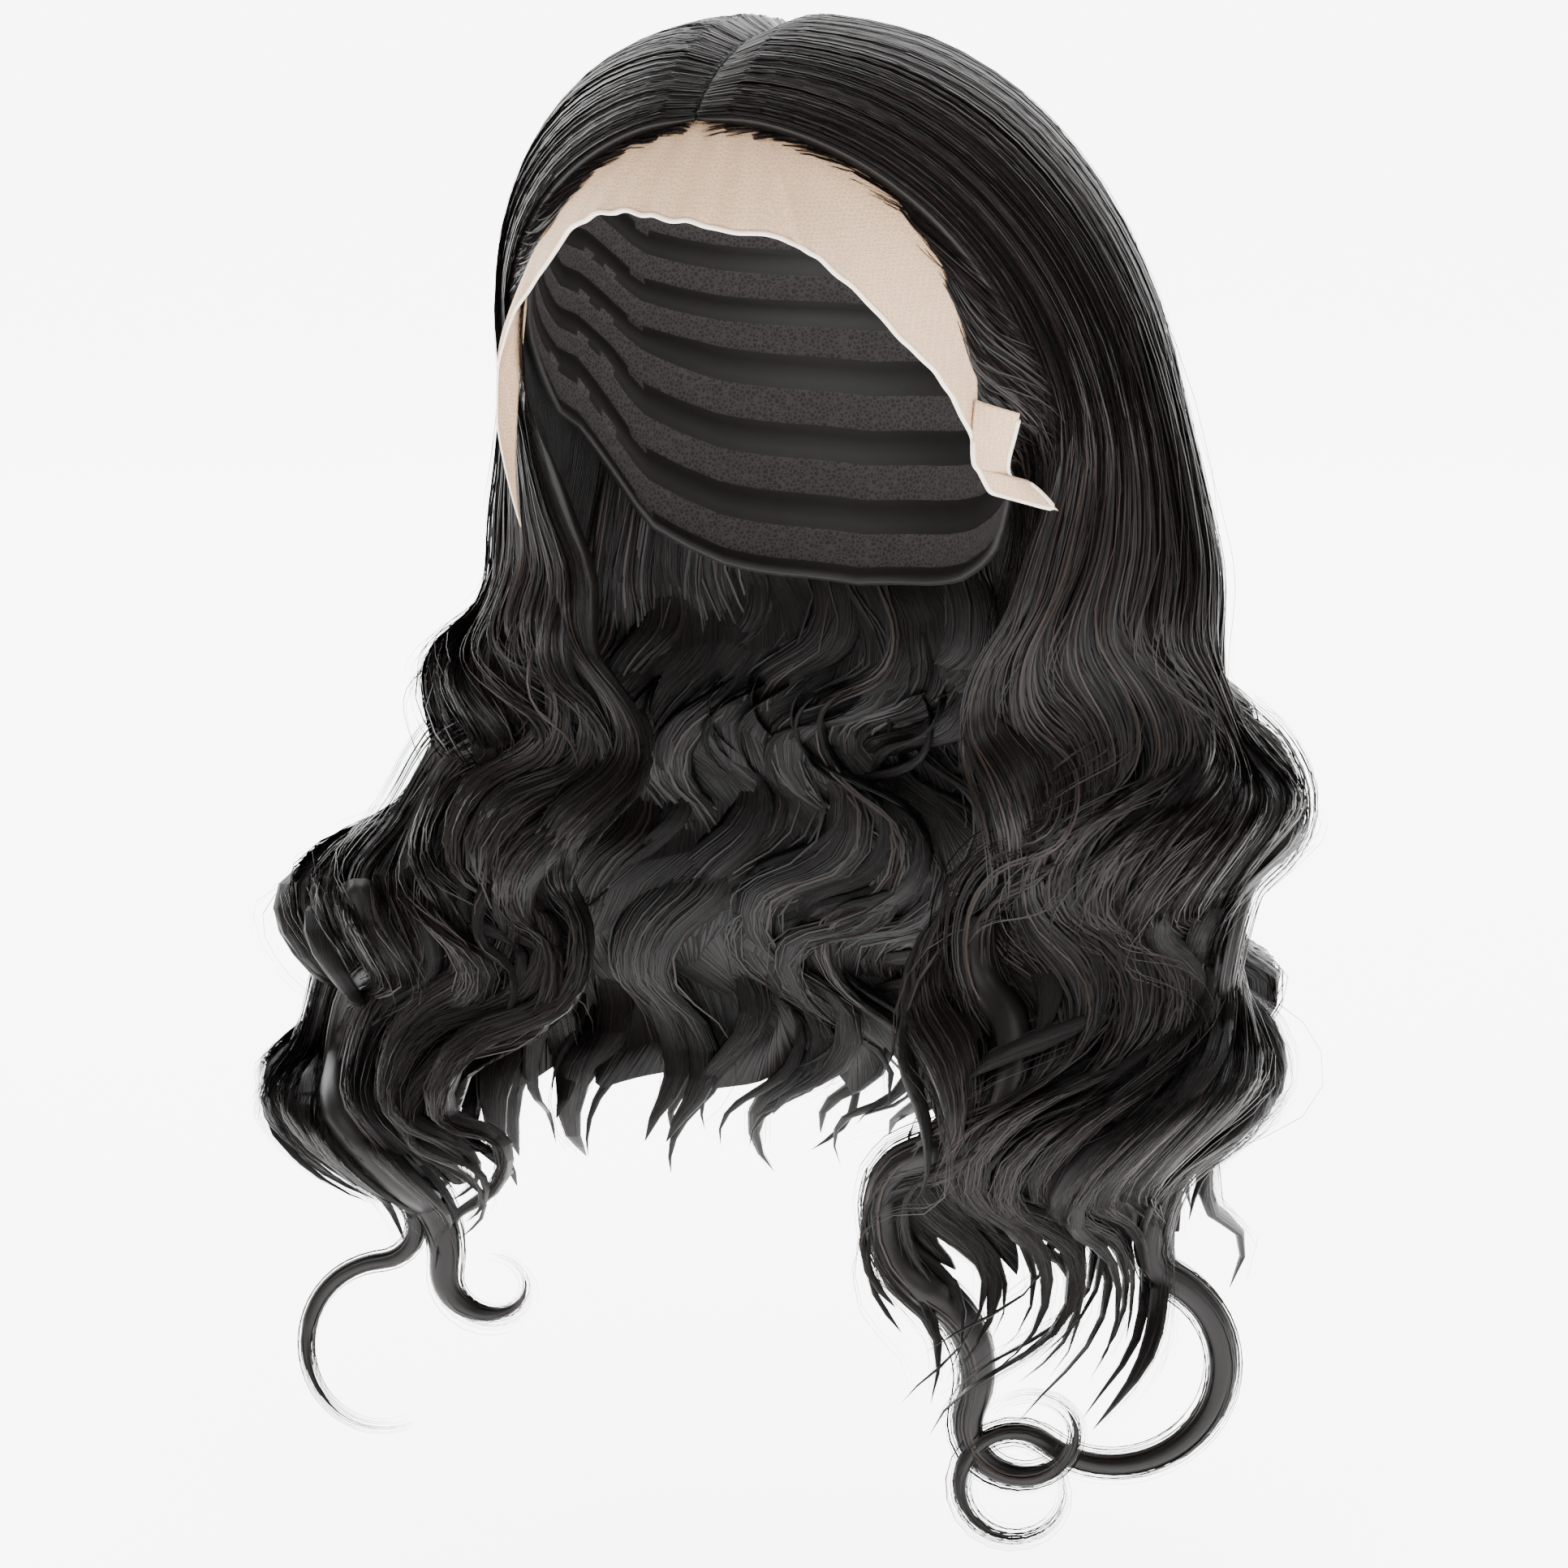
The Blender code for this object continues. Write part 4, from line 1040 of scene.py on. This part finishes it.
def net_cap(sizes):
    """Knitted cap: a thin dome with sewn rows of hair round its inside and a rolled edge."""
    columns = 72
    rows = ROW_LINES * sizes.weft_rows + 1
    turns = np.arange(columns) * 360.0 / columns - 180.0
    edge = cap_columns_angle(turns)
    down = np.linspace(CAP_START, 1.0, rows)
    angle = edge[:, None] * down[None]
    turn = np.repeat(turns[:, None], rows, 1)
    sewn = np.clip(np.cos(2 * math.pi * np.arange(rows) / ROW_LINES) - 0.2, 0, None) / 0.8
    rolled = smooth_step((down - 0.97) / 0.03)
    inner = meridian_point(turn, angle, -sizes.weft_height * sewn - CAP_ROLL * rolled)
    outer = meridian_point(turn, angle, CAP_WALL)
    piece = closed_wall("cap_net_dome", inner, outer, wrap=True)
    centres = np.array([face.center[:] for face in piece.data.polygons])
    angle = np.arccos(np.clip(head_direction(centres)[:, 2], -1, 1))
    share = angle / cap_columns_angle(np.degrees(np.arctan2(centres[:, 0], -centres[:, 1])))
    place = (share - CAP_START) / (1 - CAP_START) * sizes.weft_rows
    on_row = np.abs(place - np.round(place)) < 0.2
    piece.data.polygons.foreach_set("material_index", on_row.astype(np.int32))
    return piece


def lace_points(turns, share, outside):
    """Points of the lace: turn round the cap, share from the cap's edge to the free edge."""
    around = np.radians(turns)
    scallops = sum(np.cos(around * waves + ahead) * height for height, waves, ahead in SCALLOPS)
    low = meridian(edge_drop(turns, 2) + scallops)
    high = cap_columns_angle(turns) + EDGE_GAP * 3 / CROWN_HEIGHT
    stand = edge_drop(turns, 3) * smooth_step(share)
    angle = high + (low - high) * share
    crease_place = (turns - CREASE_TURN - CREASE_LEAN * share) / CREASE_WIDTH
    crease = CREASE_HEIGHT * np.exp(-crease_place ** 2) * smooth_step(share * 1.6 - 0.2)
    loose = LOOSE_EDGE_HEIGHT * smooth_step((share - 0.55) / 0.45) \
        * (0.5 + 0.5 * np.sin(around * LOOSE_EDGE_WAVES))
    gathers = GATHER_HEIGHT * np.cos(around * GATHER_WAVES + 2 * share) * smooth_step(share * 1.5) \
        * np.exp(-(turns / GATHER_SPAN) ** 2)
    return meridian_point(turns, angle, stand + crease + loose + gathers + outside)


def lace_net(sizes):
    """Thin net from the cap's edge to the free edge."""
    turns = np.linspace(FRONT_EDGE[0][0], LACE_END, 230)
    turns, share = np.meshgrid(turns, np.linspace(0, 1, 20), indexing="ij")
    inner = lace_points(turns, share, LACE_STAND)
    outer = lace_points(turns, share, LACE_STAND + sizes.lace_wall)
    return closed_wall("lace_front_net", inner, outer)


def tab_grid():
    """Points of the ear tab, which lies close at its base and flares out like a trumpet."""
    down = np.linspace(0, len(EAR_TAB) - 1, TAB_ROWS)
    columns = follow(np.array(EAR_TAB, float), down).T[:, :, None]
    turn, drop, stand, tip_turn, tip_drop, tip_stand = columns
    out = np.linspace(0, 1, TAB_COLUMNS)[None]
    place = meridian(drop + (tip_drop - drop) * out)
    rise = stand + (tip_stand - stand) * out ** 1.6 + 0.0008 * np.sin(math.pi * out)
    return meridian_point(turn + (tip_turn - turn) * out, place, rise + TAB_STAND)


def ear_tab(sizes):
    """Small flap of the net at the lower end of the lace."""
    inner = tab_grid()
    normal = unit(np.cross(np.gradient(inner, axis=0), np.gradient(inner, axis=1)))
    return closed_wall("lace_ear_tab", inner, inner + normal * sizes.lace_wall)


def lace_rolled_edge(sizes):
    """Thin rolled thread along the free edge of the lace and round the ear tab."""
    turns = np.linspace(FRONT_EDGE[0][0] + 0.5, LACE_END - 1.5, 260)
    line = lace_points(turns, np.ones_like(turns), LACE_STAND + sizes.lace_wall / 2)
    tab = tab_grid()
    line = np.concatenate([line, tab[11:-1, 0], tab[-1, :-1], tab[:1:-1, -1]])
    for _ in range(EDGE_SMOOTHINGS):
        line[1:-1] = 0.25 * line[:-2] + 0.5 * line[1:-1] + 0.25 * line[2:]
    outward = unit(line - np.array([0.0, 0.0, -CROWN_HEIGHT]))
    radii = 0.5 * sizes.edge_thread * np.minimum(1.0, 0.25 + np.arange(len(line)) / 90.0)
    return new_piece("lace_rolled_edge", *tube(line, radii, outward, EDGE_SIDES)[:2])


def hairline_hairs(sizes, count, steps, seed):
    """Fine hairs along the hairline, growing from the lace and swept back into the fall."""
    rng = np.random.default_rng(seed)
    down = np.linspace(0, 1, steps)[None]
    groups = []
    rows = np.linspace(0, 5.8, 60)
    for name, last in HAIRLINE_TURNS.items():
        field = hair_field(name)
        front = hair_points(field, np.zeros_like(rows), rows, np.ones_like(rows), 0.0)[0]
        known = np.maximum.accumulate(np.degrees(np.arctan2(np.abs(front[:, 0]), -front[:, 1])))
        turn = last * rng.uniform(0.0, 1.0, count)
        start = np.interp(np.abs(turn), known, rows)[:, None]
        temple = smooth_step((np.abs(turn) - 30) / 30)
        forward = rng.uniform(-0.3, 1.0, count) ** 3 * sizes.hairline_depth / CROWN_HEIGHT
        forward = forward - temple * TEMPLE_DEPTH / CROWN_HEIGHT * rng.uniform(-0.2, 1.0, count).clip(0)
        along = turn[:, None] + math.copysign(1.0, last) * (HAIRLINE_TURN_BACK - 3 * temple)[:, None] * down
        angle = meridian(edge_drop(along, 1)) - 0.012 + forward[:, None] * (1 - 0.6 * down)
        lift = 0.0008 + 0.002 * down * rng.uniform(0.3, 1.0, (count, 1))
        root = meridian_point(along, angle, lift)
        row = start + 0.05 + (rng.uniform(1.0, 1.8, (count, 1)) + 0.7 * temple[:, None]) * down
        place = 0.004 + 0.06 * down * rng.uniform(0.2, 1.5, (count, 1))
        inside = np.maximum(0.98 - down * rng.uniform(0.3, 1.1, (count, 1)), 0.03)
        fall = hair_points(field, place, row, inside, 0.0)[0]
        points = root + (fall - root) * (down ** HAIRLINE_SWEEP)[..., None]
        away = unit(points - np.array([0.0, 0.0, -CROWN_HEIGHT]))
        groups.append(strand_ribbons(points, away, rng, sizes.strand_width * 0.7))
    return new_piece("hairline_hairs", *join_groups(groups))


# Stage

def pale_stage(colours):
    """Plain pale floor that curves up far behind, in one sheet."""
    material, shader = plain_finish("pale_floor", colours.floor, 0.9)
    shader.inputs["Emission Color"].default_value = (1.0, 1.0, 1.0, 1.0)
    shader.inputs["Emission Strength"].default_value = colours.floor_glow
    level = SOLID_BOX[0][2] - FLOOR_GAP
    profile = [(FLOOR_FRONT, level), (FLOOR_REAR, level)]
    for k in range(1, CURVE_STEPS + 1):
        bend = math.radians(90 / CURVE_STEPS * k)
        rise = CURVE_RADIUS * (1 - math.cos(bend))
        profile.append((FLOOR_REAR + CURVE_RADIUS * math.sin(bend), level + rise))
    profile.append((FLOOR_REAR + CURVE_RADIUS, level + BACKDROP_HEIGHT))
    turn = math.radians(CAMERA_TURN)
    points = []
    for y, z in profile:
        for x in (-FLOOR_HALF_WIDTH, FLOOR_HALF_WIDTH):
            across = x * math.cos(turn) - y * math.sin(turn)
            along = x * math.sin(turn) + y * math.cos(turn)
            points.append((across, along, z))
    faces = [(2 * k, 2 * k + 1, 2 * k + 3, 2 * k + 2) for k in range(len(profile) - 1)]
    floor = new_piece("stage_floor", np.array(points), np.array(faces))
    floor.data.materials.append(material)


def soft_light(name, place, size, power, tint):
    """Large lamp aimed at the wig, not seen by the camera."""
    lamp = bpy.data.lights.new(name, "AREA")
    lamp.shape = "RECTANGLE"
    lamp.size, lamp.size_y = size
    lamp.energy = power
    lamp.color = tint
    holder = bpy.data.objects.new(name, lamp)
    holder.location = place
    holder.rotation_euler = (Vector(LAMP_AIM) - Vector(place)).to_track_quat("-Z", "Y").to_euler()
    holder.visible_camera = False
    bpy.context.collection.objects.link(holder)


def photo_camera():
    """Camera that frames the wig as the photograph does."""
    turn, rise = math.radians(CAMERA_TURN), math.radians(CAMERA_RISE)
    right = Vector((math.cos(turn), math.sin(turn), 0.0))
    back = Vector((math.sin(turn) * math.cos(rise), -math.cos(turn) * math.cos(rise), math.sin(rise)))
    up = back.cross(right)
    lens = bpy.data.cameras.new("photo_camera")
    lens.lens = CAMERA_LENS
    lens.sensor_width = CAMERA_SENSOR
    lens.clip_start = 0.05
    camera = bpy.data.objects.new("photo_camera", lens)
    place = right * CAMERA_RIGHT + up * CAMERA_UP + back * CAMERA_BACK + Vector((0, 0, CAMERA_AIM))
    camera.matrix_world = Matrix.Translation(place) @ Matrix((right, up, back)).transposed().to_4x4()
    bpy.context.collection.objects.link(camera)
    bpy.context.scene.camera = camera


def soft_world(colours):
    """Even light from all round."""
    world = bpy.data.worlds.new("soft_room")
    bpy.context.scene.world = world
    world.use_nodes = True
    shade = world.node_tree.nodes["Background"]
    shade.inputs["Color"].default_value = (*colours.room, 1.0)
    shade.inputs["Strength"].default_value = colours.room_strength


# Settings that a user would change

class WigSizes(bpy.types.PropertyGroup):
    strand_width: bpy.props.FloatProperty(
        name="Strand Width", description="Width of one strand of hair as drawn",
        default=0.00060, min=0.0002, max=0.003, subtype="DISTANCE", unit="LENGTH")
    side_locks: bpy.props.IntProperty(
        name="Side Locks", description="Locks across each side piece", default=15, min=4, max=60)
    back_locks: bpy.props.IntProperty(
        name="Back Locks", description="Locks across the back piece", default=24, min=4, max=90)
    lock_strands: bpy.props.IntProperty(
        name="Strands per Lock", description="Strands in one outer lock", default=78, min=4, max=200)
    weft_rows: bpy.props.IntProperty(
        name="Sewn Rows", description="Rows of hair sewn round the inside of the cap",
        default=12, min=4, max=40)
    weft_height: bpy.props.FloatProperty(
        name="Sewn Row Height", description="How far a sewn row stands inside the cap",
        default=0.0009, min=0.0, max=0.002, subtype="DISTANCE", unit="LENGTH")
    lace_wall: bpy.props.FloatProperty(
        name="Lace Thickness", description="Thickness of the net", default=0.0004,
        min=0.0001, max=0.001, subtype="DISTANCE", unit="LENGTH")
    edge_thread: bpy.props.FloatProperty(
        name="Edge Thread", description="Thickness of the rolled edge of the lace",
        default=0.0017, min=0.0002, max=0.003, subtype="DISTANCE", unit="LENGTH")
    hairline_depth: bpy.props.FloatProperty(
        name="Hairline Depth", description="How far single hairs grow in front of the hairline",
        default=0.009, min=0.0, max=0.02, subtype="DISTANCE", unit="LENGTH")


class WigColours(bpy.types.PropertyGroup):
    hair: bpy.props.FloatVectorProperty(
        name="Hair", description="Main colour of the hair", subtype="COLOR",
        default=(0.0050, 0.0043, 0.0041), min=0, max=1)
    hair_warm: bpy.props.FloatVectorProperty(
        name="Warm Strands", description="Colour of the brownest strands", subtype="COLOR",
        default=(0.018, 0.012, 0.010), min=0, max=1)
    cap_net: bpy.props.FloatVectorProperty(
        name="Cap Net", description="Colour of the cap", subtype="COLOR",
        default=(0.016, 0.014, 0.014), min=0, max=1)
    lace: bpy.props.FloatVectorProperty(
        name="Lace", description="Tint of the net", subtype="COLOR",
        default=(0.60, 0.40, 0.25), min=0, max=1)
    lace_shade: bpy.props.FloatVectorProperty(
        name="Lace Shade", description="Darker tint of the net", subtype="COLOR",
        default=(0.47, 0.30, 0.18), min=0, max=1)
    lace_edge: bpy.props.FloatVectorProperty(
        name="Lace Edge", description="Tint of the rolled edge", subtype="COLOR",
        default=(0.74, 0.63, 0.52), min=0, max=1)
    floor: bpy.props.FloatVectorProperty(
        name="Floor", description="Colour of the floor", subtype="COLOR",
        default=(0.96, 0.96, 0.96), min=0, max=1)
    floor_glow: bpy.props.FloatProperty(
        name="Floor Glow", description="Light from the lit floor and backdrop",
        default=5.4, min=0.0, max=9.0)
    room: bpy.props.FloatVectorProperty(
        name="Room Light", description="Colour of the light from all round", subtype="COLOR",
        default=(1.0, 1.0, 1.0), min=0, max=1)
    room_strength: bpy.props.FloatProperty(
        name="Room Light Strength", description="Strength of the light from all round",
        default=0.45, min=0.0, max=5.0)


# One operator for each piece

class WIG_OT_stage(bpy.types.Operator):
    """Build the floor, the soft lights and the camera"""
    bl_idname = "wig.stage"
    bl_label = "Stage"

    def execute(self, context):
        colours = context.scene.wig_colours
        pale_stage(colours)
        soft_world(colours)
        photo_camera()
        for name, values in LAMPS.items():
            soft_light(name, *values)
        return {"FINISHED"}


class WIG_OT_cap(bpy.types.Operator):
    """Build the knitted cap"""
    bl_idname = "wig.cap"
    bl_label = "Cap"

    def execute(self, context):
        colours = context.scene.wig_colours
        cap = settle(net_cap(context.scene.wig_sizes), net_finish(colours), "cap_net", "cap")
        rows, shader = plain_finish("sewn_row_finish", colours.hair, 0.6)
        shader.inputs["Specular IOR Level"].default_value = 0.20
        cap.data.materials.append(rows)
        return {"FINISHED"}


class WIG_OT_lace(bpy.types.Operator):
    """Build the sheer lace front and its rolled edge"""
    bl_idname = "wig.lace"
    bl_label = "Lace Front"

    def execute(self, context):
        sizes, colours = context.scene.wig_sizes, context.scene.wig_colours
        finish = lace_finish(colours)
        net = settle(lace_net(sizes), finish, "sheer_lace", "lace_front")
        tab = settle(ear_tab(sizes), finish, "sheer_lace", "lace_front")
        thread = plain_finish("lace_edge_finish", colours.lace_edge, 0.6)[0]
        hem = settle(lace_rolled_edge(sizes), thread, "sheer_lace", "lace_front")
        return {"FINISHED"}


class WIG_OT_side_hair(bpy.types.Operator):
    """Build the two side pieces: combed mass, under locks, outer locks and loose strands"""
    bl_idname = "wig.side_hair"
    bl_label = "Side Hair"

    def execute(self, context):
        sizes, colours = context.scene.wig_sizes, context.scene.wig_colours
        combed = hair_finish("combed_black_hair", colours, True)
        strands = hair_finish("black_hair_strands", colours, False)
        width = sizes.strand_width
        for k, name in enumerate(("hair_left", "hair_right")):
            bodies = (
                lock_bodies(name, "outer", sizes.side_locks, lines=92, near=0.08, far=0.62, seed=21 + k),
                lock_bodies(name, "ends", SIDE_END_LOCKS, lines=34, near=0.15, far=0.50, seed=61 + k,
                            start=ENDS_START),
                hair_mass(name, columns=110, lines=64, seed=11 + k),
            )
            loose = (
                hair_strands(name, "outer", sizes.side_locks, sizes.lock_strands, steps=62,
                             width=width, seed=21 + k),
                hair_strands(name, "ends", SIDE_END_LOCKS, 8, steps=40, width=width * 1.2, seed=61 + k),
                hair_strands(name, "loose", 40, 4, steps=50, width=width * 0.5, seed=41 + k),
            )
            settle_hair(name, bodies, combed)
            settle_hair(name, loose, strands)
        return {"FINISHED"}


class WIG_OT_back_hair(bpy.types.Operator):
    """Build the back piece: combed mass, outer locks and loose strands"""
    bl_idname = "wig.back_hair"
    bl_label = "Back Hair"

    def execute(self, context):
        sizes = context.scene.wig_sizes
        name, width = "hair_back", sizes.strand_width
        bodies = (
            lock_bodies(name, "outer", sizes.back_locks, lines=66, near=0.08, far=0.55, seed=23),
            lock_bodies(name, "ends", 56, lines=36, near=0.20, far=0.50, seed=63, start=ENDS_START),
            lock_bodies(name, "inner", INNER_LOCKS, lines=60, near=0.95, far=0.60, seed=33),
            hair_mass(name, columns=130, lines=60, seed=13),
        )
        loose = (
            hair_strands(name, "outer", sizes.back_locks, 52, steps=46, width=width * 1.5, seed=23),
            hair_strands(name, "inner", INNER_LOCKS, 34, steps=40, width=width * 1.3, seed=33),
            hair_strands(name, "loose", 36, 4, steps=44, width=width * 0.5, seed=43),
        )
        settle_hair(name, bodies, bpy.data.materials["combed_black_hair"])
        settle_hair(name, loose, bpy.data.materials["black_hair_strands"])
        return {"FINISHED"}


class WIG_OT_curls(bpy.types.Operator):
    """Build the ring-curled tips and the short hairs of the hairline"""
    bl_idname = "wig.curls"
    bl_label = "Curls and Hairline"

    def execute(self, context):
        sizes = context.scene.wig_sizes
        strands = bpy.data.materials["black_hair_strands"]
        for k, name in enumerate(("hair_left", "hair_right")):
            curls = curled_tips(name, count=95, steps=84, width=sizes.strand_width * 1.1, seed=51 + 10 * k)
            settle_hair(name, [curls], strands)
        fine = hairline_hairs(sizes, count=1100, steps=12, seed=71)
        settle(fine, strands, "black_hair", "hair_left", "hair_right")
        return {"FINISHED"}


class WIG_PT_panel(bpy.types.Panel):
    """Pieces of the wig, in building order"""
    bl_label = "Wig"
    bl_idname = "WIG_PT_panel"
    bl_space_type = "VIEW_3D"
    bl_region_type = "UI"
    bl_category = "Wig"

    def draw(self, context):
        for name in ("stage", "cap", "lace", "side_hair", "back_hair", "curls"):
            self.layout.operator("wig." + name)
        for group in (context.scene.wig_sizes, context.scene.wig_colours):
            for prop in group.bl_rna.properties:
                if prop.identifier not in ("rna_type", "name"):
                    self.layout.prop(group, prop.identifier)


CLASSES = (WigSizes, WigColours, WIG_OT_stage, WIG_OT_cap, WIG_OT_lace, WIG_OT_side_hair,
           WIG_OT_back_hair, WIG_OT_curls, WIG_PT_panel)


def register():
    for item in CLASSES:
        bpy.utils.register_class(item)
    bpy.types.Scene.wig_sizes = bpy.props.PointerProperty(type=WigSizes)
    bpy.types.Scene.wig_colours = bpy.props.PointerProperty(type=WigColours)


def unregister():
    del bpy.types.Scene.wig_colours
    del bpy.types.Scene.wig_sizes
    for item in reversed(CLASSES):
        bpy.utils.unregister_class(item)


def main():
    """Build the wig piece by piece."""
    register()
    bpy.ops.wig.stage()
    bpy.ops.wig.cap()
    bpy.ops.wig.lace()
    bpy.ops.wig.side_hair()
    bpy.ops.wig.back_hair()
    bpy.ops.wig.curls()


if __name__ == "__main__":
    main()
